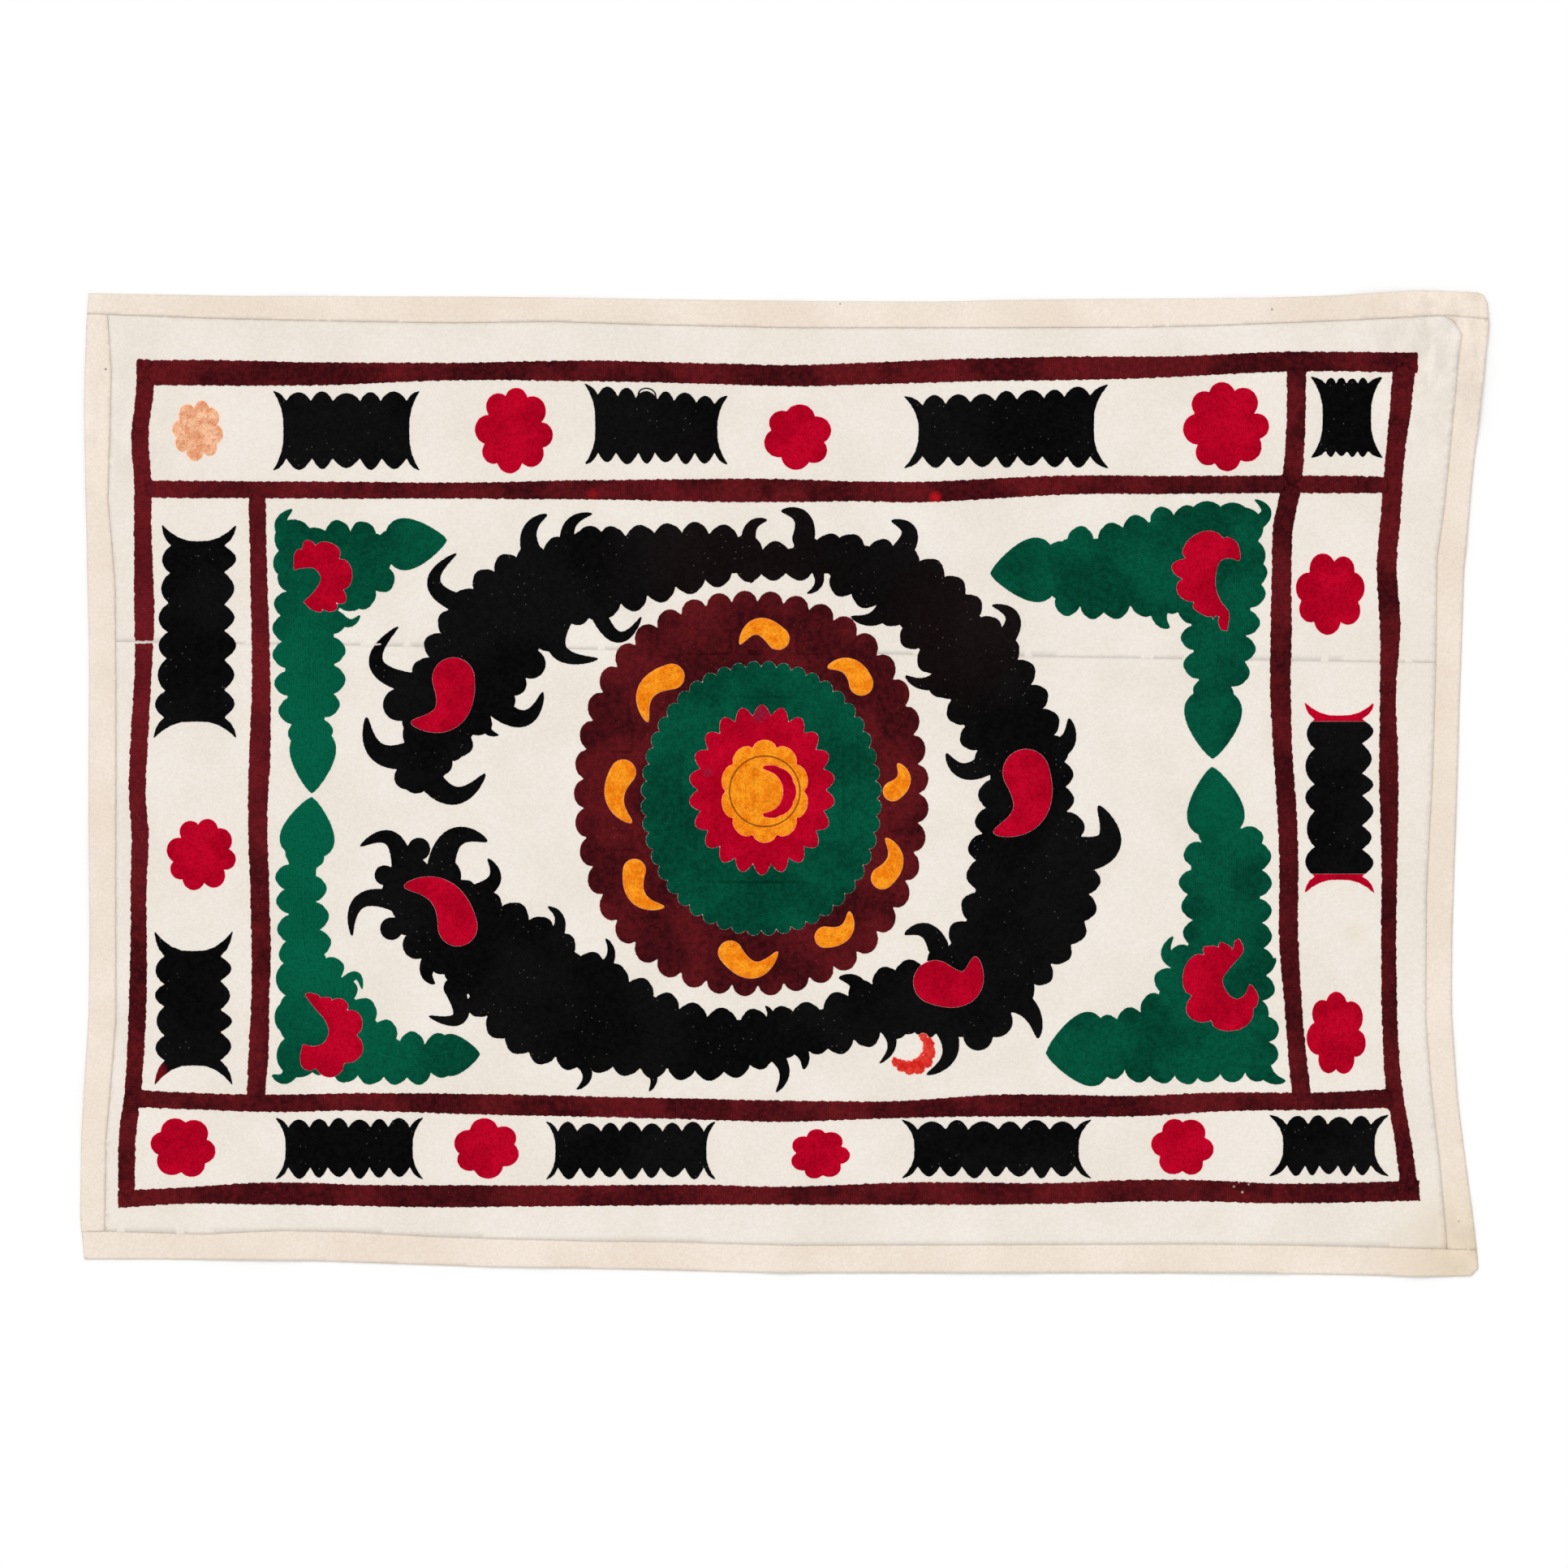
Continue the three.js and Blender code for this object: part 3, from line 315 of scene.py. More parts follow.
VINE_HORNS = table("x y wide tip_x tip_y swing", [
    [-455, 253, 28, -465, 327, -38], [-526, 142, 30, -548, 223, -44], [-524, 43, 39, -593, 94, -30],
    [-510, 16, 37, -425, 14, 32], [-427, 89, 16, -406, 69, 6], [-409, 110, 32, -343, 130, 28],
    [-312, 246, 35, -265, 177, 39], [-263, 239, 23, -203, 237, 30], [-359, 329, 28, -337, 382, -14],
    [-307, 336, 23, -273, 383, -16], [-543, -116, 30, -602, -89, 28], [-487, -114, 39, -422, -82, -25],
    [-432, -153, 25, -421, -107, 16], [-554, -167, 28, -614, -216, 30], [-505, -254, 23, -497, -284, 7],
    [-470, -290, 28, -505, -330, -34], [-289, -395, 18, -295, -434, -12], [-197, -399, 16, -192, -437, -9],
    [-321, -210, 18, -336, -175, 9], [-254, -259, 16, -254, -220, 8], [405, -100, 53, 446, -32, 39],
    [311, -303, 39, 360, -361, -16], [225, -342, 30, 202, -413, -22], [138, -342, 18, 135, -397, -16],
    [20, -376, 21, 27, -405, -5], [-16, -383, 21, -12, -438, -14], [110, -303, 28, 78, -276, 10],
    [218, -231, 30, 171, -214, 15], [-20, -335, 12, -27, -316, 3], [313, 205, 28, 295, 253, 21],
    [368, 46, 35, 404, 92, 18], [283, 25, 30, 230, 43, -16], [218, 147, 23, 172, 153, -8],
    [149, 262, 30, 95, 237, -16], [-51, 348, 21, -25, 374, -9], [27, 348, 32, -4, 387, 16],
    [168, 331, 30, 152, 373, 18], [46, 304, 16, 32, 270, -10], [-51, 306, 14, -48, 285, -5],
])

VINE_BUDS = table("x y radius", [
    [-547, 112, 23], [-537, 9, 17], [-471, 47, 15], [-383, 142, 17], [-360, 170, 21], [-519, -93, 16],
    [-568, -130, 14], [-558, -206, 16], [-522, -229, 20], [301, -337, 23], [275, -358, 21], [176, -342, 14],
    [-276, 348, 18],
])

# Rounds that fill the vine out where its horns and buds spring from it
VINE_SWELLS = table("x y radius", [
    [-509, 122, 29], [-515, 70, 27], [-503, 35, 30], [-532, -132, 30], [-532, -172, 27], [-486, -132, 27],
    [-357, 318, 20], [223, 142, 20], [277, -335, 22], [-523, 6, 20], [-268, 250, 18], [-336, 208, 20],
    [-402, 118, 20], [-534, -196, 20], [166, 326, 15], [252, -340, 20], [-468, -268, 15],
])

VINE_PAISLEYS = table("x y radius tip_x tip_y swing", [
    [-470, 149, 30, -529, 87, -30], [-464, -203, 28, -539, -146, 24], [343, 16, 33, 298, -69, -30],
    [214, -282, 31, 271, -247, 28],
])

# Where the seam of the panels shows through one horn of the vine
HORN_SLIT = np.array([(-592, 195), (-573, 197), (-573, 199), (-592, 197)])

# A crescent beside the vine was left half worked
UNFINISHED = table("x y wide", [
    [154, -388, 9], [170, -393, 18], [184, -392, 22], [194, -383, 21], [197, -371, 16], [190, -357, 8],
])

# Medallion: three scalloped rings round a rosette
MEDALLION = {
    "maroon": {"x": -47, "y": -14, "across": 504, "up": 576, "petals": 41, "depth": 0.055, "square": 0.035},
    "green": {"x": -33, "y": -21, "across": 342, "up": 390, "petals": 48, "depth": 0.045, "square": 0.02},
    "red": {"x": -32, "y": -9, "across": 208, "up": 242, "petals": 22, "depth": 0.13, "lobe": 0.95},
    "rosette": {"x": -28, "y": -11, "across": 126, "up": 146, "petals": 10, "depth": 0.12},
}
CENTRE_CRESCENT = table("x y wide", [
    [-31, -43, 5], [-13, -36, 13], [-3, -21, 18], [-3, -2, 18], [-13, 13, 13], [-31, 21, 5],
])

MEDALLION_PAISLEYS = table("x y radius tip_x tip_y swing", [
    [-9, 206, 16, -63, 198, 21], [109, 142, 17, 62, 165, 14], [-160, 152, 18, -194, 88, 22],
    [-229, 16, 18, -217, -55, 18], [154, -11, 14, 161, 28, 12], [139, -134, 16, 144, -78, 16],
    [-213, -123, 16, -171, -175, 20], [58, -218, 15, 92, -182, 15], [-77, -240, 17, -10, -239, 25],
])

# Ridges, tucks and pressed lines that are too narrow for the solids
CREASES = table("x y to_x to_y half rise bow", [
    [-4, 660, -4, 596, 5, 0.5, 2], [-962, 560, -951, 430, 6, 1.4, 5], [-975, 600, -968, 470, 5, 1.0, -6],
    [-985, 250, -960, 205, 6, 0.8, 2], [-978, -90, -960, -180, 7, 0.8, 4],
    [850, 690, 960, 640, 8, 1.6, 8], [905, 694, 985, 668, 7, 2.0, 4], [960, 655, 985, 560, 7, 2.2, -6],
    [975, 600, 955, 480, 5, 0.9, 5], [870, 672, 930, 690, 5, 0.8, -3], [-4, -600, -4, -692, 6, 0.6, 1],
    [430, 5, 605, 5, 5, 0.35, 2], [870, 200, 912, 198, 5, 0.5, 1], [930, -620, 975, -690, 8, 0.9, 4],
])

# Where the cloth is crumpled, from handling: how far it reaches and how deep it is, in relief and in painted
# shade
CRUMPLES = table("x y inner outer strength", [
    [955, 610, 30, 210, 1], [975, -650, 10, 90, 0.9], [-970, 500, 20, 170, 0.5], [-975, -100, 10, 150, 0.3],
])

# Painted shade on the crumples, as a share of the colour, and the height of their relief
CRUMPLE_SHADE = 0.14
CRUMPLE_RELIEF = 12.0

# Small marks on the cloth, with how far they reach and how strong they are
TONE_COLUMNS = "x y inner outer strength tone"
MARKS = table(TONE_COLUMNS, [
    [-963, 588, 0.6, 2.4, 0.8, "dark"], [692, 673, 0.6, 2.2, 0.7, "dark"], [79, 681, 0.5, 2.0, 0.6, "dark"],
    [957, -621, 0.6, 2.4, 0.7, "dark"], [811, -214, 4, 26, 0.22, "stain"], [960, -670, 10, 150, 0.5, "stain"],
])

# Threads: the size of their dye's patches, how much ground shows between loops, and odd tones
THREADS = {
    "maroon": {"patch": 105, "flecks": 0.5, "fleck": (158, 70, 64), "tones": table(TONE_COLUMNS, [
        [-915, 160, 60, 460, 0.4, "warm"], [862, -120, 60, 420, 0.4, "deep"],
        [214, 406, 2, 12, 0.7, "scarlet"], [-272, 411, 1, 13, 0.25, "scarlet"],
        [-24, 416, 3, 14, 0.6, "deep"], [-47, -14, 260, 330, 0.12, "deep"],
        [638, -572, 0.6, 2.2, 0.8, "pale"], [650, -580, 0.6, 2.6, 0.8, "pale"],
        [659, -569, 0.6, 2.2, 0.7, "pale"], [645, -566, 0.5, 1.9, 0.7, "pale"],
    ])},
    "red": {"patch": 60, "flecks": 0.1, "fleck": (226, 84, 100), "tones": table(TONE_COLUMNS, [
        [-36, 99, 3, 17, 0.45, "ink"], [-109, 16, 2, 9, 0.4, "ink"],
    ])},
    "green": {"patch": 110, "flecks": 0.25, "fleck": (70, 146, 116), "tones": table(TONE_COLUMNS, [
        [-690, -60, 150, 470, 0.55, "green_pale"], [-681, -60, 10, 120, 0.3, "green_pale"],
        [610, -30, 10, 110, 0.3, "green_pale"],
    ])},
    "black": {"patch": 150, "flecks": 0.4, "fleck": (150, 140, 128), "tones": table(TONE_COLUMNS, [
        [-70, 318, 30, 230, 0.14, "rust"], [240, 220, 40, 160, 0.16, "rust"],
        [-893, -410, 8, 22, 0.85, "wine"],
    ])},
    "orange": {"patch": 16, "flecks": 0.0, "fleck": (255, 200, 120), "tones": []},
    "peach": {"patch": 14, "flecks": 0.0, "fleck": (255, 226, 196), "tones": []},
    "coral": {"patch": 12, "flecks": 1.0, "fleck": (238, 214, 202), "tones": []},
}
MARK_TONES = {
    "dark": (70, 60, 52), "stain": (222, 204, 174), "green_pale": (4, 100, 72), "rust": (48, 26, 22),
    "warm": (120, 30, 38), "deep": (48, 10, 14), "scarlet": (200, 20, 30), "ink": (80, 38, 66),
    "wine": (112, 16, 24), "pale": (206, 176, 166),
}

# A dark thread laid in a ring over the rosette
ROSETTE_RING = {"x": -28, "y": -11, "radius": 50, "colour": "orange"}
RING_TONE = (96, 40, 20)
RING_HALF = (0.6, 1.6)
RING_STRENGTH = 0.8

# The edge of a stretch of stitches, and how high over the cloth's underside it starts
EDGE_RING = 1.6
EDGE_ROUND = 3.2
STITCH_FOOT = 1.35

# Cut cloth: its outline is drawn a little outside the solid's, and its edge is pressed down
SHEET_FIELD_PITCH = 4.0
SHEET_GROWTH = 0.13
SHEET_EDGE = {"dip": 0.08, "reach": 1.5}
PUCKER = {"height": 0.3, "reach": 9, "foot": 0.6}

# Inner mesh points keep off the outline by this share of their spacing
INNER_CLEARANCE = 0.6
LATTICE_ROW = math.sqrt(0.75)

# Soft rolls: size, phase and share of each
CLOTH_ROLLS = ((210, 0.0, 0.5), (83, 1.7, 0.5))
CLOTH_ROLL_HEIGHT = 0.18
STITCH_ROLLS = ((17, 0.0, 0.07), (46, 2.0, 0.05))

# The stitches' look, its sizes in metres: the relief's rows and loops, patches and grain of the dye,
# painted light on the heights and along the rim, and specks of ground between the loops
RIB_SHARE, LOOP_SHARE = 0.45, 0.55
PATCH_SHARE, GRAIN_SHARE = 0.55, 0.45
THREAD_GRAIN = 0.007
# Painted light: the stitches' colour is scaled by the relief's height, lighter on the loops' tops and darker
# in the hollows
PAINTED_HEIGHT_LIGHT, PAINTED_BASE_LIGHT, PAINTED_RIM_LIGHT = 0.42, 0.74, 0.3
# Painted highlight along the pad's rim: full within the first share of a millimetre, gone by the second
RIM_WIDTH = (0.2, 2.2)
SPECK_CLUSTERS = 0.05
SPECK_SPACING = 0.017
THREAD_ROUGHNESS = 0.9

# The cotton's look, its sizes in metres: threads, thick threads, clouds, grain and wrinkles
WEAVE_SHARE, SLUB_SHARE = 0.3, 0.7
SLUB_LENGTH = 0.004
CLOUD_SHARE, MOTTLE_SHARE = 0.45, 0.55
CLOUD_SIZE, MOTTLE_SIZE, WRINKLE_SIZE = 0.12, 0.0035, 0.024
# Painted shade along the bands' edges, as a share of their colour
BAND_EDGE_SHADE = 0.05
COTTON_RELIEF = 0.00022
COTTON_ROUGHNESS = 0.95
GLOSS = 0.02

# Floor, light and camera, in metres
FLOOR = {"size": 14, "z": -0.0004, "tones": ((250, 250, 250), (253, 253, 253)), "relief": 0.00001}
WORLD_STRENGTH = 0.86
SUN = {"strength": 0.8, "spread": 25, "place": (-2, 3, 4), "towards": (-2, 3, 3.6)}


def size(name, default, description):
    """A length that a user can change, in metres."""
    return bpy.props.FloatProperty(
        name=name, description=description, default=default, min=0, unit="LENGTH", subtype="DISTANCE",
    )


def tint(name, tone, default, what):
    """One of a finish's two tones, its default given in 0 to 255."""
    return bpy.props.FloatVectorProperty(
        name=f"{name}, {tone}", description=f"{what} in its {tone} patches",
        default=linear(*default), min=0, max=1, size=3, subtype="COLOR",
    )


class TableclothSizes(bpy.types.PropertyGroup):
    """Sizes that a user would change, in metres"""

    cloth_thick: size("Cloth thickness", 0.0013, "Thickness of the ground panels")
    band_thick: size("Band thickness", 0.0019, "Thickness of the doubled edge bands")
    stitch_height: size("Stitch height", 0.00125, "How far the embroidery stands over the cloth")
    stitch_edge: size("Stitch edge height", 0.0004, "Height of the embroidery at its edge")
    row_pitch: size("Stitch row pitch", 0.0034, "Distance between rows of chain stitches")
    loop_length: size("Stitch length", 0.0042, "Length of one chain-stitched loop")
    stitch_relief: size("Stitch relief", 0.0005, "Depth between the loops")
    weave_pitch: size("Weave pitch", 0.0011, "Distance between threads of the cotton")
    cloth_mesh: size("Cloth mesh", 0.0075, "Distance between the mesh points of the panels")
    band_mesh: size("Band mesh", 0.004, "Distance between the mesh points of the bands")
    stitch_mesh: size("Stitch mesh", 0.0046, "Distance between the mesh points of the embroidery")


class TableclothColours(bpy.types.PropertyGroup):
    """Colours of the cloth and its threads"""

    ground_dark: tint("Ground", "darker", (231, 222, 210), "Cotton of the panels")
    ground_light: tint("Ground", "lighter", (244, 237, 228), "Cotton of the panels")
    band_dark: tint("Band", "darker", (232, 215, 197), "Ecru cotton of the bands")
    band_light: tint("Band", "lighter", (246, 235, 223), "Ecru cotton of the bands")
    maroon_dark: tint("Maroon", "darker", (50, 11, 15), "Dark red thread")
    maroon_light: tint("Maroon", "lighter", (101, 24, 29), "Dark red thread")
    red_dark: tint("Red", "darker", (160, 0, 28), "Red thread")
    red_light: tint("Red", "lighter", (192, 4, 40), "Red thread")
    green_dark: tint("Green", "darker", (2, 56, 39), "Green thread")
    green_light: tint("Green", "lighter", (5, 84, 60), "Green thread")
    black_dark: tint("Black", "darker", (5, 5, 6), "Black thread")
    black_light: tint("Black", "lighter", (17, 16, 17), "Black thread")
    orange_dark: tint("Orange", "darker", (232, 118, 10), "Orange thread")
    orange_light: tint("Orange", "lighter", (252, 158, 34), "Orange thread")
    peach_dark: tint("Peach", "darker", (222, 144, 102), "Peach thread")
    peach_light: tint("Peach", "lighter", (248, 194, 156), "Peach thread")
    coral_dark: tint("Coral", "darker", (204, 28, 26), "Coral thread")
    coral_light: tint("Coral", "lighter", (228, 70, 56), "Coral thread")


# Curves and outlines, in millimetres


def curve(rows, columns, steps=0, spacing=0.0):
    """Even steps along a smooth curve through the rows: place, direction to the right, and other columns."""
    knots = np.array([[row[name] for name in ("x", "y", *columns)] for row in rows], float)
    knots = np.vstack([2 * knots[0] - knots[1], knots, 2 * knots[-1] - knots[-2]])
    chord = np.maximum((np.diff(knots, axis=0) ** 2).sum(1) ** 0.25, 1e-3)
    fine = []
    along = np.linspace(0, 1, KNOT_STEPS, endpoint=False)[:, None]
    for i in range(1, len(knots) - 2):
        a, b, c, d = knots[i - 1 : i + 3]
        before, here, after = chord[i - 1 : i + 2]
        leave = ((b - a) / before - (c - a) / (before + here) + (c - b) / here) * here
        reach = ((c - b) / here - (d - b) / (here + after) + (d - c) / after) * here
        fine.append(
            b + leave * along
            + (3 * (c - b) - 2 * leave - reach) * along**2
            + (2 * (b - c) + leave + reach) * along**3
        )
    fine = np.vstack([*fine, knots[-2:-1]])
    length = np.concatenate([[0], np.cumsum(np.hypot(*np.diff(fine[:, :2], axis=0).T))])
    count = steps or max(3, round(length[-1] / spacing) + 1)
    at = np.linspace(0, length[-1], count)
    even = np.column_stack([np.interp(at, length, column) for column in fine.T])
    ahead = np.gradient(even[:, :2], axis=0)
    ahead /= np.maximum(np.hypot(*ahead.T), TINY)[:, None]
    side = np.column_stack([ahead[:, 1], -ahead[:, 0]])
    return even[:, :2], side, even[:, 2:].T


def bar_outline(rows):
    """A bar's two long edges."""
    place, side, (wide,) = curve(rows, ["wide"], spacing=BAR_SPACING)
    half = side * wide[:, None] / 2
    return np.vstack([place + half, (place - half)[::-1]])


def ring_outline(x, y, across, up, petals, depth, square=0.0, lobe=LOBE_BULGE):
    """An oval with lobes and sharp notches; a square share pushes its diagonals outwards."""
    angle = np.linspace(0, 2 * math.pi, petals * LOBE_STEPS, endpoint=False)
    bulge = np.abs(np.sin(angle * petals / 2)) ** lobe
    reach = (1 - depth + depth * bulge) * (1 + square * np.sin(2 * angle) ** 2)
    return np.column_stack([
        x + across / 2 * reach * np.cos(angle),
        y + up / 2 * reach * np.sin(angle),
    ])


def block_side(x, along, across, horn, lobes, deepest, bulge):
    """One scalloped long side of a block, between the hollows of its ends."""
    long, wide = along / 2, across / 2
    reach = long - HORN_FREE * horn
    depth = min(deepest, LOBE_DEPTH_SHARE * 2 * reach / lobes)
    valley = wide - depth
    corner = [(long - a * horn, b * wide - c * depth) for a, b, c in HORN_CORNER]
    count = np.arange(lobes + 1)
    notch = count + np.where(count % lobes, PLACE_SWAY * np.sin(2.7 * count + x), 0)
    notch = 2 * reach * notch / lobes - reach
    side = [(-a, b) for a, b in corner]
    for i in range(lobes):
        rise = (depth - LOBE_INSET) * (0.94 + SIZE_SWAY * math.sin(2.1 * i + x))
        for share in np.linspace(0, 1, LOBE_STEPS, endpoint=False):
            far = notch[i] + share * (notch[i + 1] - notch[i])
            side.append((far, valley + rise * math.sin(math.pi * share) ** bulge))
    return np.array([*side, (reach, valley), *corner[::-1]])


def block_outline(x, y, along, across, lobes, under, horn, turn, skew):
    """A block with a horn at each corner, its upper lobes round and its lower ones pointed."""
    above = block_side(x, along, across, horn, lobes, **ROUND_LOBES)
    below = -block_side(x, along, across, horn, under, **POINTED_LOBES)
    whole = np.vstack([above[:-1], below[:-1]])
    whole[:, 1] += np.where(whole[:, 1] > 0, skew * whole[:, 0] / along, 0)
    angle = math.radians(turn)
    spin = np.array([[math.cos(angle), math.sin(angle)], [-math.sin(angle), math.cos(angle)]])
    return whole @ spin + (x, y)


def leaf_outline(x, y, tip_x, tip_y, half):
    """A smooth leaf: round at its base, widest a third of the way, sharp at its tip."""
    base, tip = np.array([x, y], float), np.array([tip_x, tip_y], float)
    ahead = (tip - base) / np.hypot(*(tip - base))
    across = np.array([ahead[1], -ahead[0]])
    along = np.linspace(LEAF["start"], 1, LEAF["steps"])
    out = half * np.sin(math.pi * along ** LEAF["lead"]).clip(0) ** LEAF["full"]
    line = base + np.outer(along, tip - base)
    edge = np.outer(out, across)
    return np.vstack([line + edge, (line - edge)[-2::-1]])


def sprig_outline(rows, lobes, depth):
    """A curl given by its hollow edge, with lobes along its outer edge."""
    place, side, (wide,) = curve(rows, ["wide"], steps=lobes * LOBE_STEPS + 1)
    lobe = np.abs(np.sin(np.arange(len(place)) * math.pi / LOBE_STEPS)) ** LOBE_BULGE
    outer = place + side * (wide * (1 - depth + depth * lobe))[:, None]
    return np.vstack([outer, place[::-2]])


def horn_discs(x, y, wide, tip_x, tip_y, swing):
    """Discs along a claw that swings sideways and tapers to its tip."""
    root, tip = np.array([x, y], float), np.array([tip_x, tip_y], float)
    ahead = (tip - root) / np.hypot(*(tip - root))
    middle = (root + tip) / 2 + 2 * swing * np.array([ahead[1], -ahead[0]])
    along = 1 - np.linspace(1, 0, HORN["steps"])[:, None] ** HORN["crowd"]
    line = (1 - along) ** 2 * root + 2 * along * (1 - along) * middle + along**2 * tip
    return np.column_stack([line, wide / 2 * (1 - along) ** HORN["taper"]])


def drop_discs(x, y, radius, tip_x, tip_y, swing):
    """A drop: a round head, then a tail that tapers to a point."""
    return horn_discs(x, y, 2 * radius, tip_x, tip_y, swing)


def arm_discs(rows, lobe):
    """Discs for a band of changing width with a row of egg-shaped scallops along each edge."""
    place, side, (half,) = curve(rows, ["half"], spacing=LINE_SPACING)
    inset = np.maximum(half - lobe["notch"], LEAST_INSET * half)
    core = np.minimum(inset, lobe["core"])
    steps = math.ceil(inset.max() / lobe["core"])
    discs = [
        np.column_stack([place + side * ((inset - core) * share)[:, None], core])
        for share in np.linspace(-1, 1, 2 * steps + 1)
    ]
    for way in (1, -1):
        edge = place + way * side * half[:, None]
        far = np.concatenate([[0], np.cumsum(np.hypot(*np.diff(edge, axis=0).T))])
        count = np.arange(round(far[-1] / lobe["pitch"]) + 1)
        k = np.searchsorted(far, far[-1] * count / count[-1] - 0.1)
        k = k[half[k] > lobe["radius"]]
        radius = lobe["radius"] * (1 + SIZE_SWAY * np.sin(1.7 * np.arange(len(k)) + 2 * way))
        for inwards, share in SCALLOP_DISCS:
            shift = way * (half[k] - inwards * radius)
            discs.append(np.column_stack([place[k] + side[k] * shift[:, None], share * radius]))
    return np.vstack(discs)


def from_line(rows):
    """How far places are from a band's middle line, for rows of stitches that follow it."""
    line = curve(rows, ["half"], spacing=LINE_SPACING)[0]

    def away(places):
        nearest = np.full(len(places), FAR)
        for x, y in line:
            nearest = np.minimum(nearest, np.hypot(places[:, 0] - x, places[:, 1] - y))
        return nearest

    return away


def flower_discs(x, petals, turn):
    """Discs for a round head of uneven petals, on a circle of radius one."""
    count = np.arange(petals)
    radius = PETAL_SIZE / petals * (1 + SIZE_SWAY * np.sin(2.3 * count + x))
    angle = 2 * math.pi * count / petals + math.radians(turn) + PLACE_SWAY * np.sin(1.9 * count + x)
    reach = 1 - radius
    petal = np.column_stack([reach * np.cos(angle), reach * np.sin(angle), radius])
    return np.vstack([petal, [[0, 0, FLOWER_CORE]]])


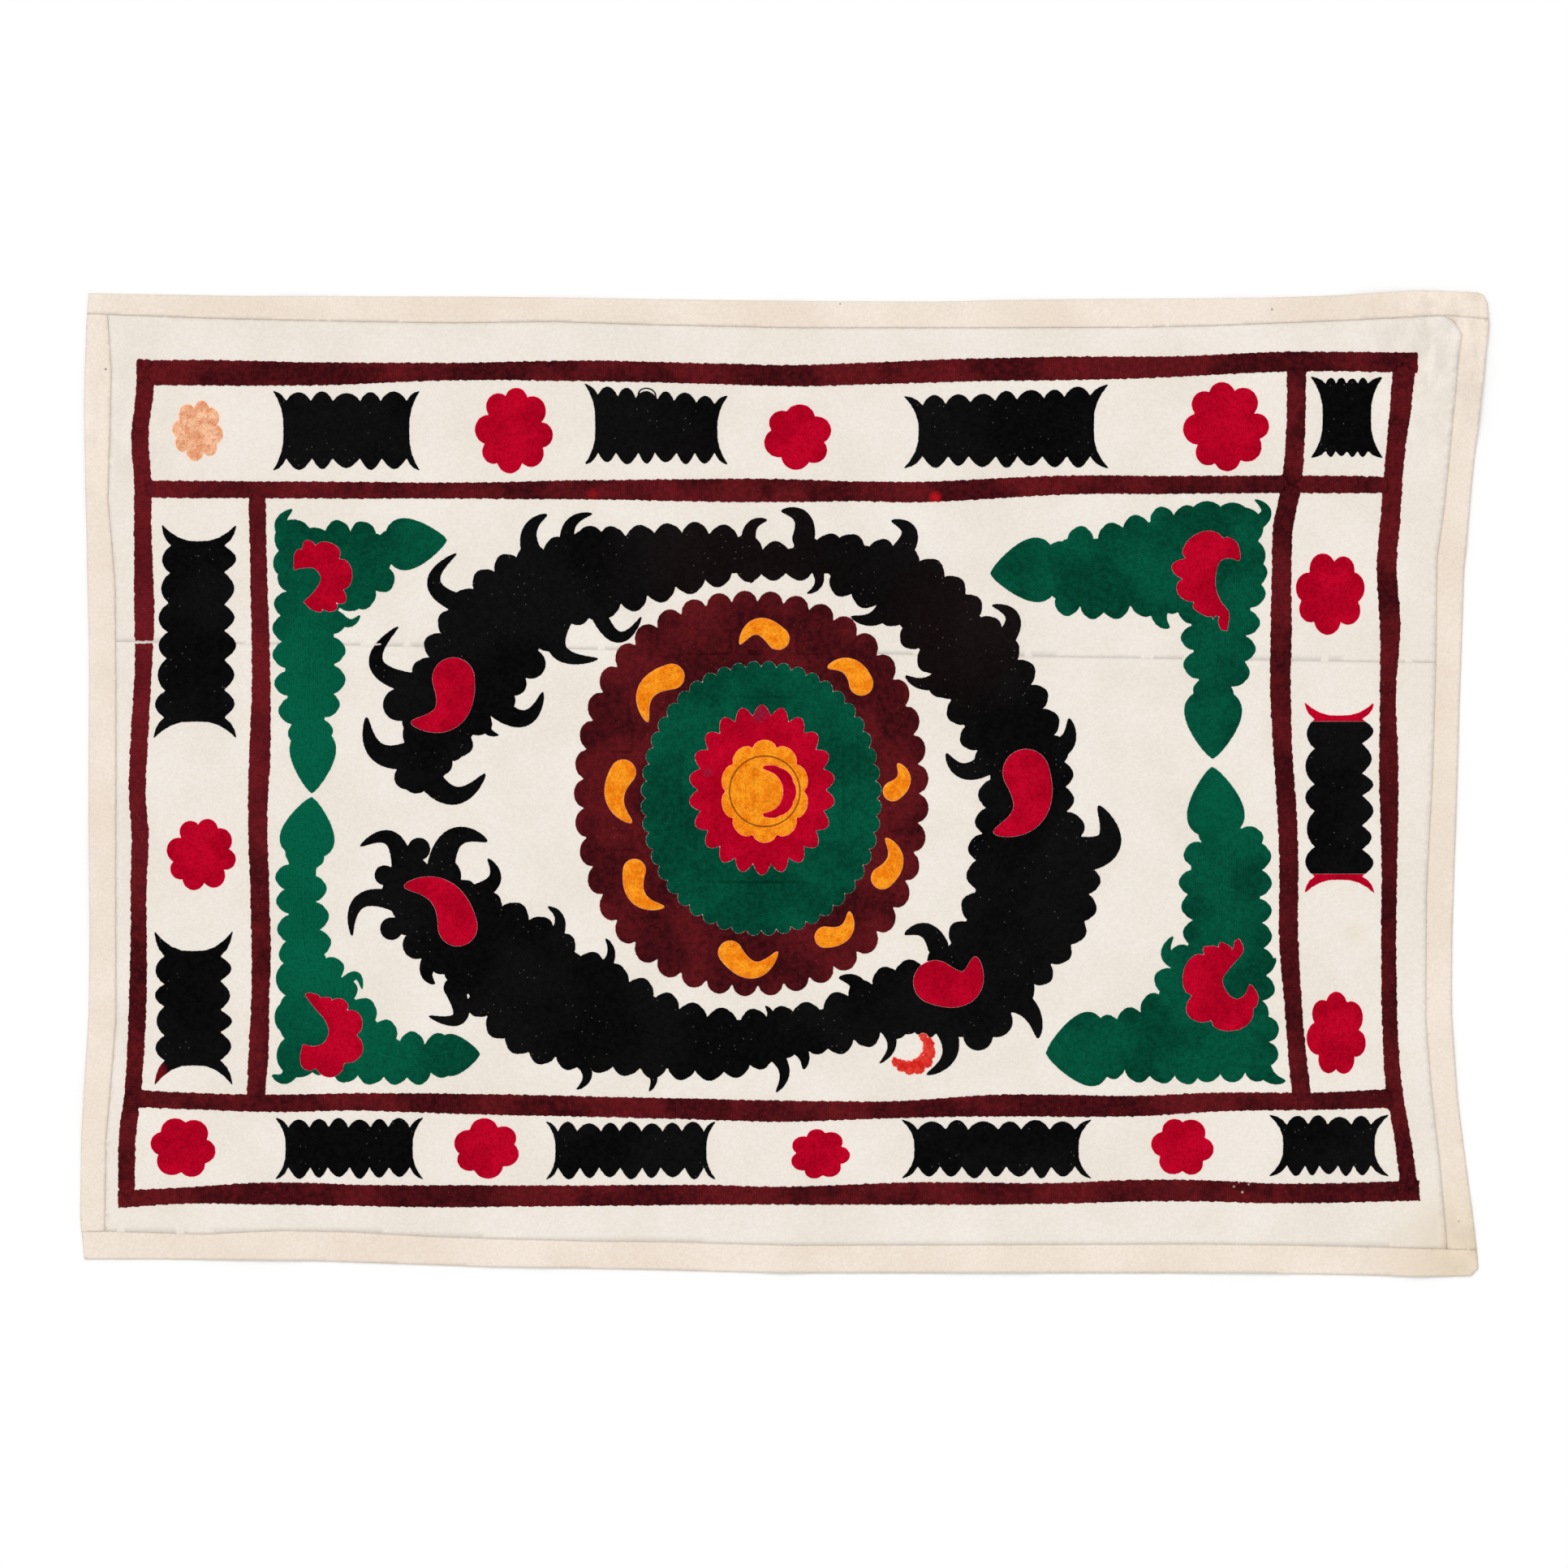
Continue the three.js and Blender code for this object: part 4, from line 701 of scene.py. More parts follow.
class Field:
    """Distance to a motif's outline, negative inside it, on a square lattice."""

    def __init__(self, low, high, pitch=FIELD_PITCH):
        self.pitch = pitch
        self.xs = np.arange(low[0] - FIELD_MARGIN, high[0] + FIELD_MARGIN + pitch, pitch)
        self.ys = np.arange(low[1] - FIELD_MARGIN, high[1] + FIELD_MARGIN + pitch, pitch)
        self.value = np.full((len(self.xs), len(self.ys)), FAR)

    def blank(self):
        """An empty field on the same lattice."""
        other = copy.copy(self)
        other.value = np.full(self.value.shape, FAR)
        return other

    def window(self, low, high):
        """The part of the lattice round a shape's box."""
        across = slice(*np.searchsorted(self.xs, (low[0] - WINDOW_MARGIN, high[0] + WINDOW_MARGIN)))
        up = slice(*np.searchsorted(self.ys, (low[1] - WINDOW_MARGIN, high[1] + WINDOW_MARGIN)))
        return across, up

    def discs(self, rows):
        """Adds discs, each given by its centre and radius."""
        for x, y, radius in rows:
            part = self.window((x - radius, y - radius), (x + radius, y + radius))
            away = np.hypot(self.xs[part[0], None] - x, self.ys[None, part[1]] - y) - radius
            self.value[part] = np.minimum(self.value[part], away)
        return self

    def flower(self, x, y, across, up, petals, turn):
        """Adds a round head, stretched to its width and height."""
        scale = (across + up) / 4
        q, r = (self.xs[:, None] - x) / (across / 2), (self.ys[None] - y) / (up / 2)
        for a, b, radius in flower_discs(x, petals, turn):
            away = (np.hypot(q - a, r - b) - radius) * scale
            self.value = np.minimum(self.value, away)
        return self

    def distance(self, outline, part):
        """Signed distance to a closed outline in one window."""
        x, y = np.meshgrid(self.xs[part[0]], self.ys[part[1]], indexing="ij")
        nearest = np.full(x.shape, FAR**2)
        inside = np.zeros(x.shape, bool)
        for (ax, ay), (bx, by) in zip(outline, np.roll(outline, -1, axis=0)):
            dx, dy = bx - ax, by - ay
            share = ((x - ax) * dx + (y - ay) * dy) / max(dx * dx + dy * dy, TINY)
            share = share.clip(0, 1)
            nearest = np.minimum(nearest, (x - ax - share * dx) ** 2 + (y - ay - share * dy) ** 2)
            if ay != by:
                crosses = ((ay > y) != (by > y)) & (x < ax + (y - ay) * dx / dy)
                inside ^= crosses
        return np.where(inside, -1, 1) * np.sqrt(nearest)

    def shape(self, outline):
        """Adds a closed outline."""
        part = self.window(outline.min(0), outline.max(0))
        self.value[part] = np.minimum(self.value[part], self.distance(outline, part))
        return self

    def cut(self, outline, gap=CUT_GAP):
        """Cuts a closed outline away, with a gap round it."""
        part = self.window(outline.min(0), outline.max(0))
        self.value[part] = np.maximum(self.value[part], gap - self.distance(outline, part))
        return self

    def cut_field(self, other):
        """Cuts another field on the same lattice away."""
        self.value = np.maximum(self.value, CUT_GAP - other.value)
        return self

    def ragged(self, amount, size=WOBBLE_LENGTH):
        """Moves the edge in and out a little, as hand stitches do."""
        x, y = self.xs[:, None], self.ys[None]
        turn = 2 * math.pi / size
        wobble = np.sin(turn * (x + 0.4 * y) + 1.3) * np.sin(turn * 0.83 * (y - 0.3 * x))
        wobble = wobble + 0.6 * np.sin(turn * 0.37 * (x - y)) * np.sin(turn * 0.31 * (x + y))
        self.value = self.value + amount * wobble
        return self

    def at(self, points):
        """The distance at each point, between lattice points in proportion."""
        u = ((points[:, 0] - self.xs[0]) / self.pitch).clip(0, len(self.xs) - 1.001)
        v = ((points[:, 1] - self.ys[0]) / self.pitch).clip(0, len(self.ys) - 1.001)
        i, j = u.astype(int), v.astype(int)
        u, v = u - i, v - j
        f = self.value
        low = f[i, j] * (1 - u) + f[i + 1, j] * u
        high = f[i, j + 1] * (1 - u) + f[i + 1, j + 1] * u
        return low * (1 - v) + high * v

    def loops(self, level=0.0):
        """Closed outlines at one distance, the inside on their left."""
        f = self.value - level
        f[np.abs(f) < 1e-7] = 1e-7
        inside = f < 0
        corners = [inside[:-1, :-1], inside[1:, :-1], inside[1:, 1:], inside[:-1, 1:]]
        mixed = np.argwhere((sum(c.astype(int) for c in corners) % 4) > 0)
        ahead = {}
        for i, j in mixed:
            square = [inside[i, j], inside[i + 1, j], inside[i + 1, j + 1], inside[i, j + 1]]
            edges = [(0, i, j), (1, i + 1, j), (0, i, j + 1), (1, i, j)]
            enters = [k for k in range(4) if not square[k] and square[(k + 1) % 4]]
            for k in range(4):
                if square[k] and not square[(k + 1) % 4]:
                    back = next((k - step) % 4 for step in (1, 2, 3) if (k - step) % 4 in enters)
                    ahead[edges[k]] = edges[back]
        found = []
        while ahead:
            key, nxt = ahead.popitem()
            chain = [key]
            while nxt != key:
                chain.append(nxt)
                nxt = ahead.pop(nxt)
            points = []
            for way, i, j in chain:
                a, b = f[i, j], (f[i + 1, j] if way == 0 else f[i, j + 1])
                share = a / (a - b)
                points.append((
                    self.xs[i] + (share * self.pitch if way == 0 else 0),
                    self.ys[j] + (share * self.pitch if way == 1 else 0),
                ))
            points = np.array(points)
            if abs(loop_area(points)) > LEAST_LOOP_AREA:
                found.append(thinned(points))
        return found


def loop_area(points):
    """The area in a closed outline, negative where it runs clockwise."""
    x, y = points.T
    return 0.5 * float(np.dot(x, np.roll(y, -1)) - np.dot(np.roll(x, -1), y))


def thinned(points):
    """A closed outline with the points left out that lie on the line between their neighbours."""
    count = len(points)
    far = int(np.argmax(np.hypot(*(points - points[0]).T)))
    ring = np.vstack([points, points[:1]])
    keep = {0, far, count}
    spans = [(0, far), (far, count)]
    while spans:
        a, b = spans.pop()
        if b - a < 2:
            continue
        start, way = ring[a], ring[b] - ring[a]
        off = ring[a + 1 : b] - start
        long = max(float(np.hypot(*way)), TINY)
        away = np.abs(off[:, 0] * way[1] - off[:, 1] * way[0]) / long
        k = int(np.argmax(away))
        if away[k] > OUTLINE_TOLERANCE:
            keep.add(a + 1 + k)
            spans += [(a, a + 1 + k), (a + 1 + k, b)]
    return points[sorted(keep - {count})]


def within(points, loops):
    """Whether each point is inside the closed outlines, an outline inside another being a hole."""
    inside = np.zeros(len(points), bool)
    x, y = points.T
    for loop in loops:
        for (ax, ay), (bx, by) in zip(loop, np.roll(loop, -1, axis=0)):
            if ay != by:
                inside ^= ((ay > y) != (by > y)) & (x < ax + (y - ay) * (bx - ax) / (by - ay))
    return inside


def lattice(low, high, spacing):
    """Points of a triangular lattice."""
    points = []
    for k, y in enumerate(np.arange(low[1], high[1], spacing * LATTICE_ROW)):
        xs = np.arange(low[0] + (k % 2) * spacing / 2, high[0], spacing)
        points.append(np.column_stack([xs, np.full(len(xs), y)]))
    return np.vstack(points)


def filled(loops, rings, inner):
    """Triangles that fill the loops, through the rings inside them and the inner points."""
    parts, edges, start = [], [], 0
    for loop in [*loops, *rings]:
        count = len(loop)
        edges += [(start + k, start + (k + 1) % count) for k in range(count)]
        parts.append(loop)
        start += count
    points = np.vstack([*parts, inner])
    places, _, faces, *_ = delaunay_2d_cdt([Vector(p) for p in points], edges, [], 0, JOIN_TOLERANCE)
    places = np.array([tuple(p) for p in places])
    faces = np.array([f for f in faces if len(f) == 3])
    return places, faces


def closed_sheet(name, places, faces, top, bottom, attributes):
    """A closed mesh between two heights over one triangulation, its edge walled."""
    a, b, c = (places[faces[:, k]] for k in range(3))
    cross = (b[:, 0] - a[:, 0]) * (c[:, 1] - a[:, 1]) - (b[:, 1] - a[:, 1]) * (c[:, 0] - a[:, 0])
    faces = np.where((cross < 0)[:, None], faces[:, ::-1], faces)
    used = np.unique(faces)
    index = np.full(len(places), -1)
    index[used] = np.arange(len(used))
    faces, places = index[faces], places[used]
    count = len(places)
    directed = np.vstack([faces[:, [0, 1]], faces[:, [1, 2]], faces[:, [2, 0]]])
    keys = directed[:, 0] * count + directed[:, 1]
    back = directed[:, 1] * count + directed[:, 0]
    rim = directed[~np.isin(keys, back)]
    walls = np.vstack([
        np.column_stack([rim[:, 1], rim[:, 0], rim[:, 0] + count]),
        np.column_stack([rim[:, 1], rim[:, 0] + count, rim[:, 1] + count]),
    ])
    triangles = np.vstack([faces, faces[:, ::-1] + count, walls])
    points = np.vstack([
        np.column_stack([places, top[used]]),
        np.column_stack([places, bottom[used]]),
    ]) * MM
    mesh = bpy.data.meshes.new(name)
    mesh.vertices.add(len(points))
    mesh.vertices.foreach_set("co", points.ravel())
    mesh.loops.add(triangles.size)
    mesh.loops.foreach_set("vertex_index", triangles.ravel())
    mesh.polygons.add(len(triangles))
    mesh.polygons.foreach_set("loop_start", np.arange(0, triangles.size, 3))
    mesh.update(calc_edges=True)
    mesh.validate()
    for title, value in attributes:
        layer = mesh.attributes.new(title, "FLOAT", "POINT")
        layer.data.foreach_set("value", np.tile(value[used], 2).astype(np.float32))
    mesh.polygons.foreach_set("use_smooth", np.ones(len(mesh.polygons), bool))
    piece = bpy.data.objects.new(name, mesh)
    bpy.context.scene.collection.objects.link(piece)
    return piece


def lift(points):
    """How far the folds lift the cloth off the surface at each point."""
    height = np.zeros(len(points))
    for fold in FOLDS:
        start = np.array([fold["x"], fold["y"]], float)
        way = np.array([fold["to_x"], fold["to_y"]], float) - start
        share = ((points - start) @ way / (way @ way)).clip(0, 1)
        off = np.hypot(*(points - start - np.outer(share, way)).T) / fold["half"]
        height += fold["lift"] * (0.5 + 0.5 * np.cos(math.pi * off.clip(0, 1)))
    return height


def creased(points):
    """Narrow ridges and troughs pressed or pulled into the cloth."""
    height = np.zeros(len(points))
    for row in CREASES:
        start = np.array([row["x"], row["y"]], float)
        way = np.array([row["to_x"], row["to_y"]], float) - start
        share = ((points - start) @ way / (way @ way)).clip(-0.2, 1.2)
        bow = row["bow"] * 4 * share * (1 - share)
        side = np.array([way[1], -way[0]]) / np.hypot(*way)
        near = start + np.outer(share, way) + np.outer(bow, side)
        off = np.hypot(*(points - near).T) / row["half"]
        fade = np.sin(math.pi * share.clip(0, 1)) ** 0.5
        height += row["rise"] * fade * np.exp(-off * off)
    return height


def unevenness(points, size, seed):
    """A soft roll of about the given size, between -1 and 1."""
    x, y = points.T * (2 * math.pi / size)
    roll = np.sin(x + 0.6 * np.sin(0.7 * y + seed)) * np.sin(0.9 * y + 0.8 * np.sin(0.8 * x - seed))
    return 0.7 * roll + 0.3 * np.sin(0.43 * (x + y) + seed) * np.sin(0.57 * (x - y))


def rolls(points, rows):
    """Soft rolls of several sizes, each by its share."""
    return sum(share * unevenness(points, size, seed) for size, seed, share in rows)


def node_outline(node):
    """The outline of a CAD node's upper face, in millimetres, the inside on its left."""
    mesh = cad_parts[node].data
    places = np.empty(len(mesh.vertices) * 3)
    mesh.vertices.foreach_get("co", places)
    places = places.reshape(-1, 3)[:, :2] / MM
    keys = [tuple(p) for p in np.round(places, 2)]
    edges = set()
    for face in mesh.polygons:
        if face.normal.z > 0.5:
            corners = [keys[v] for v in face.vertices]
            edges |= set(zip(corners, corners[1:] + corners[:1]))
    ahead = {a: b for a, b in edges if (b, a) not in edges}
    longest = []
    while ahead:
        key, nxt = ahead.popitem()
        chain = [key]
        while nxt != key:
            chain.append(nxt)
            nxt = ahead.pop(nxt)
        longest = max(longest, chain, key=len)
    return np.array(longest)


def grown(loop, distance):
    """A closed outline, the inside on its left, moved outwards."""
    way = np.roll(loop, -1, axis=0) - np.roll(loop, 1, axis=0)
    way /= np.maximum(np.hypot(*way.T), TINY)[:, None]
    return loop + distance * np.column_stack([way[:, 1], -way[:, 0]])


def resampled(loop, spacing):
    """A closed outline with points at even steps, its corners kept."""
    points = []
    for a, b in zip(loop, np.roll(loop, -1, axis=0)):
        count = max(1, round(float(np.hypot(*(b - a))) / spacing))
        points += [a + (b - a) * k / count for k in range(count)]
    return np.array(points)


def sizes_of(context):
    """The sizes that a user can change."""
    return context.scene.tablecloth_sizes


def colours_of(context):
    """The colours that a user can change."""
    return context.scene.tablecloth_colours


def tones_of(context, kind):
    """The darker and the lighter colour of one thread or cloth."""
    colours = colours_of(context)
    return [tuple(getattr(colours, f"{kind}_{tone}")) for tone in ("dark", "light")]


# Materials


class Socket:
    """One output of a material's nodes, so that shader maths reads as plain expressions."""

    def __init__(self, finish, out):
        self.finish, self.out = finish, out

    def maths(self, operation, *terms):
        return self.finish.node("ShaderNodeMath", {"operation": operation}, *terms)

    def __add__(self, other):
        return self.maths("ADD", self, other)

    def __sub__(self, other):
        return self.maths("SUBTRACT", self, other)

    def __rsub__(self, other):
        return self.maths("SUBTRACT", other, self)

    def __mul__(self, other):
        return self.maths("MULTIPLY", self, other)

    __radd__ = __add__
    __rmul__ = __mul__

    def cosine(self):
        return self.maths("COSINE", self)

    def root(self):
        return self.maths("SQRT", self)

    def absolute(self):
        return self.maths("ABSOLUTE", self)

    def ramp(self, low, high):
        """From 0 at low to 1 at high, soft at both ends."""
        return self.finish.node(
            "ShaderNodeMapRange", {"interpolation_type": "SMOOTHSTEP"},
            self, low, high, 0.0, 1.0, out="Result",
        )


class Finish:
    """One material and the few nodes that its patterns are made of."""

    def __init__(self, name):
        self.material = bpy.data.materials.new(name)
        self.material.use_nodes = True
        self.tree = self.material.node_tree
        self.shader = self.tree.nodes["Principled BSDF"]
        self.place = self.node("ShaderNodeTexCoord", out="Object")

    def node(self, kind, settings=None, *values, out=0, **named):
        """Adds a node; its settings come first, then the values or links of its sockets."""
        node = self.tree.nodes.new(kind)
        for name, value in (settings or {}).items():
            setattr(node, name, value)
        sockets = [s for s in node.inputs if s.enabled]
        pairs = list(zip(sockets, values))
        pairs += [(node.inputs[name.replace("_", " ")], value) for name, value in named.items()]
        for socket, value in pairs:
            self.put(socket, value)
        return Socket(self, node.outputs[out])

    def put(self, socket, value):
        """Links a socket to another, or sets its own number or colour."""
        if isinstance(value, Socket):
            self.tree.links.new(value.out, socket)
        elif hasattr(value, "__len__") and len(value) == 3 and socket.type == "RGBA":
            socket.default_value = (*value, 1)
        else:
            socket.default_value = value

    def axis(self, letter):
        """One coordinate of the place on the piece, in metres."""
        return self.node("ShaderNodeSeparateXYZ", None, self.place, out=letter.upper())

    def value(self, title):
        """A number that the mesh carries."""
        return self.node("ShaderNodeAttribute", {"attribute_name": title}, out="Fac")

    def spot(self, size, stretch=(1, 1, 1), offset=(0, 0, 0)):
        """The place on the piece, counted in steps of a size in metres."""
        return self.node(
            "ShaderNodeMapping", {"vector_type": "POINT"}, self.place,
            offset, (0, 0, 0), tuple(s / size for s in stretch), out="Vector",
        )

    def noise(self, size, detail=2.0, **mapping):
        """Soft noise, its features about as large as size in metres."""
        spot = self.spot(size, **mapping)
        return self.node("ShaderNodeTexNoise", None, Vector=spot, Scale=1.0, Detail=detail, out="Fac")

    def cells(self, size):
        """Distance to the nearest of scattered points about size apart."""
        return self.node(
            "ShaderNodeTexVoronoi", {"feature": "F1", "voronoi_dimensions": "2D"},
            Vector=self.spot(size), Scale=1.0, Randomness=1.0, out="Distance",
        )

    def distance(self, row):
        """Metres from the place of a table's row."""
        across, up = self.axis("x") - row["x"] * MM, self.axis("y") - row["y"] * MM
        return (across * across + up * up).root()

    def near(self, row):
        """1 within a row's inner radius, falling to 0 at its outer one."""
        return 1 - self.distance(row).ramp(row["inner"] * MM, row["outer"] * MM)

    def shade(self, colour, amount):
        """A colour made darker or lighter by a number that varies over the surface."""
        scale = self.node("ShaderNodeCombineXYZ", None, amount, amount, amount)
        return self.node("ShaderNodeVectorMath", {"operation": "MULTIPLY"}, colour, scale)

    def mix(self, first, second, share):
        """The first colour, with the second laid over it by a share."""
        node = self.tree.nodes.new("ShaderNodeMix")
        node.data_type = "RGBA"
        factor, a, b = (s for s in node.inputs if s.enabled)
        self.put(factor, share)
        self.put(a, first)
        self.put(b, second)
        return Socket(self, next(o for o in node.outputs if o.enabled))

    def close(self, colour, height, depth, roughness):
        """Joins the patterns to the shader; depth is the relief's height in metres."""
        self.put(self.shader.inputs["Base Color"], colour)
        self.put(self.shader.inputs["Roughness"], roughness)
        self.put(self.shader.inputs["Specular IOR Level"], GLOSS)
        bump = self.node(
            "ShaderNodeBump", None, out="Normal", Strength=1.0, Distance=depth, Height=height,
        )
        self.put(self.shader.inputs["Normal"], bump)
        return self.material


def toned(finish, colour, rows):
    """Lays the marks or odd tones of a table over a colour."""
    for row in rows:
        colour = finish.mix(colour, linear(*MARK_TONES[row["tone"]]), finish.near(row) * row["strength"])
    return colour


def thread_finish(context, name, colour):
    """Dense rows of chain-stitched loops, their dye uneven, with specks of ground between them, and painted
    light on their heights and along their rim.
    """
    finish, sizes, look = Finish(name), sizes_of(context), THREADS[colour]
    row = finish.value("row_mm") * (2 * math.pi * MM / sizes.row_pitch)
    ribs = row.cosine() * 0.5 + 0.5
    loops = (1 - finish.cells(sizes.loop_length)).ramp(0.1, 0.9)
    height = ribs * RIB_SHARE + loops * LOOP_SHARE
    patches = finish.noise(look["patch"] * MM, 3.0).ramp(0.4, 0.6)
    grain = finish.noise(THREAD_GRAIN, 3.0, offset=(3, 7, 0)).ramp(0.3, 0.7)
    tone = finish.mix(*tones_of(context, colour), patches * PATCH_SHARE + grain * GRAIN_SHARE)
    tone = toned(finish, tone, look["tones"])
    if colour == ROSETTE_RING["colour"]:
        away = finish.distance(ROSETTE_RING) - ROSETTE_RING["radius"] * MM
        line = 1 - away.absolute().ramp(*(half * MM for half in RING_HALF))
        tone = finish.mix(tone, linear(*RING_TONE), line * RING_STRENGTH)
    # Painted highlight along the pad's rim, and painted light on the loops' heights, darker in the hollows
    rim = 1 - finish.value("edge_mm").ramp(*RIM_WIDTH)
    tone = finish.shade(tone, height * PAINTED_HEIGHT_LIGHT + PAINTED_BASE_LIGHT + rim * PAINTED_RIM_LIGHT)
    clusters = finish.noise(SPECK_CLUSTERS, 1.0, offset=(5, 1, 0)).ramp(0.5, 0.62)
    specks = 1 - finish.cells(SPECK_SPACING).ramp(0.02, 0.06)
    tone = finish.mix(tone, linear(*look["fleck"]), specks * clusters * look["flecks"])
    return finish.close(tone, height, sizes.stitch_relief, THREAD_ROUGHNESS)


def cotton_finish(context, name, kind):
    """Plain-woven cotton, a little mottled, with its pressed lines and small marks, and painted shade on its
    crumples and along the bands' edges.
    """
    finish, sizes = Finish(name), sizes_of(context)
    turn = 2 * math.pi / sizes.weave_pitch
    warp = (finish.axis("x") * turn).cosine()
    weft = (finish.axis("y") * turn).cosine()
    slub = finish.noise(SLUB_LENGTH, 2.0, stretch=(1, 0.25, 1))
    weave = (warp * weft) * WEAVE_SHARE + slub * SLUB_SHARE
    cloud = finish.noise(CLOUD_SIZE, 3.0).ramp(0.3, 0.7)
    mottle = finish.noise(MOTTLE_SIZE, 3.0, offset=(1, 2, 0)).ramp(0.25, 0.75)
    tone = finish.mix(*tones_of(context, kind), cloud * CLOUD_SHARE + mottle * MOTTLE_SHARE)
    tone = toned(finish, tone, MARKS)
    if kind == "band":
        # Painted shade: the band is drawn darker close to its edge
        tone = finish.shade(tone, finish.value("edge_mm").ramp(0.2, 2.0) * BAND_EDGE_SHADE + (1 - BAND_EDGE_SHADE))
    wrinkle = finish.noise(WRINKLE_SIZE, 2.0, stretch=(1, 0.5, 1), offset=(4, 0, 0)).ramp(0.3, 0.7)
    # Painted shade: the colour follows the crumples' wrinkles, darker on one side and lighter on the other,
    # besides their relief
    for row in CRUMPLES:
        fold = (wrinkle - 0.5) * finish.near(row) * row["strength"]
        tone = finish.shade(tone, 1 - fold * CRUMPLE_SHADE)
        weave = weave + fold * CRUMPLE_RELIEF
    return finish.close(tone, weave, COTTON_RELIEF, COTTON_ROUGHNESS)


# Pieces


def surface(points):
    """The height of the cloth's underside, with its folds, creases and soft rolls."""
    return lift(points) + creased(points) + CLOTH_ROLL_HEIGHT * (1 + rolls(points, CLOTH_ROLLS))


def kept_faces(places, faces, loops, field):
    """The triangles that lie inside the loops; near them the lattice is too coarse to tell."""
    centre = places[faces].mean(1)
    away = field.at(centre)
    keep = away < 0
    doubt = np.abs(away) < 0.75 * field.pitch
    keep[doubt] = within(centre[doubt], loops)
    return faces[keep]


def finished(piece, node, material):
    """Hands a piece over: its finish, the solid it stands for and its body."""
    piece.data.materials.append(material)
    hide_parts(node)
    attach(piece, "root")


def pad(context, node, field, colour, row=None):
    """A stretch of dense embroidery: a low pad with a rounded edge over the cloth."""
    sizes = sizes_of(context)
    height, edge = sizes.stitch_height / MM, sizes.stitch_edge / MM
    spacing = sizes.stitch_mesh / MM
    loops = field.loops()
    rings = field.loops(-EDGE_RING)
    inner = lattice((field.xs[0], field.ys[0]), (field.xs[-1], field.ys[-1]), spacing)
    inner = inner[field.at(inner) < -EDGE_RING - INNER_CLEARANCE * spacing]
    places, faces = filled(loops, rings, inner)
    faces = kept_faces(places, faces, loops, field)
    depth = (-field.at(places)).clip(0)
    foot = surface(places) + STITCH_FOOT
    full = (depth / EDGE_ROUND).clip(0, 1)
    rise = edge + (height - edge) * np.sqrt(full * (2 - full))
    rise = rise * (1 + rolls(places, STITCH_ROLLS))
    carried = [("row_mm", depth if row is None else row(places)), ("edge_mm", depth)]
    piece = closed_sheet(f"{node}_thread", places, faces, foot + rise, foot, carried)
    finished(piece, node, thread(context, colour))


def sheet_piece(node, thick, spacing, material, shape=None):
    """A cut piece of cloth over one node's outline."""
    outline = grown(node_outline(node), SHEET_GROWTH)
    field = Field(outline.min(0), outline.max(0), pitch=SHEET_FIELD_PITCH).shape(outline)
    loops = [resampled(outline, spacing)]
    inner = lattice(outline.min(0), outline.max(0), spacing)
    inner = inner[field.at(inner) < -INNER_CLEARANCE * spacing]
    places, faces = filled(loops, [], inner)
    faces = kept_faces(places, faces, loops, field)
    depth = (-field.at(places)).clip(0)
    foot = surface(places)
    top = foot + thick - SHEET_EDGE["dip"] * np.exp(-depth / SHEET_EDGE["reach"])
    if shape is not None:
        extra = shape(places, depth)
        top, foot = top + extra, (foot + PUCKER["foot"] * extra).clip(0)
    piece = closed_sheet(f"{node}_cloth", places, faces, top, foot, [("edge_mm", depth)])
    finished(piece, node, material)


def puckered(axis):
    """How a band that runs along one axis is drawn up along its seams."""

    def rise(places, depth):
        run = places[:, axis]
        pull = np.sin(run / 4.1 + 2 * np.sin(run / 37)) * np.sin(run / 23 + np.sin(run / 61))
        return PUCKER["height"] * pull * np.exp(-depth / PUCKER["reach"])

    return rise


def thread(context, colour):
    """The finish of one thread colour, made when it is first asked for."""
    name = f"{colour}_stitches"
    return bpy.data.materials.get(name) or thread_finish(context, name, colour)


def motif(shapes, margin=0.0):
    """An empty field round a motif given by rows of discs or by outline points."""
    points = np.vstack([rows[:, :2] for rows in shapes])
    return Field(points.min(0) - margin, points.max(0) + margin)


def numbered(name, i):
    """A node's name in a row of like ones, counted from 1."""
    return f"{name}_{i + 1:02d}"


class TABLECLOTH_OT_ground(bpy.types.Operator):
    """Lays the two joined cotton panels"""

    bl_idname = "tablecloth.ground"
    bl_label = "Ground panels"

    def execute(self, context):
        sizes = sizes_of(context)
        material = cotton_finish(context, "panel_weave", "ground")
        for node in ("ground_upper", "ground_lower"):
            sheet_piece(node, sizes.cloth_thick / MM, sizes.cloth_mesh / MM, material)
        return {"FINISHED"}


class TABLECLOTH_OT_bands(bpy.types.Operator):
    """Edges the cloth with four ecru bands"""

    bl_idname = "tablecloth.bands"
    bl_label = "Edge bands"

    def execute(self, context):
        sizes = sizes_of(context)
        material = cotton_finish(context, "band_weave", "band")
        for node, axis in (("band_top", 0), ("band_bottom", 0), ("band_left", 1), ("band_right", 1)):
            sheet_piece(
                node, sizes.band_thick / MM, sizes.band_mesh / MM, material, puckered(axis),
            )
        return {"FINISHED"}


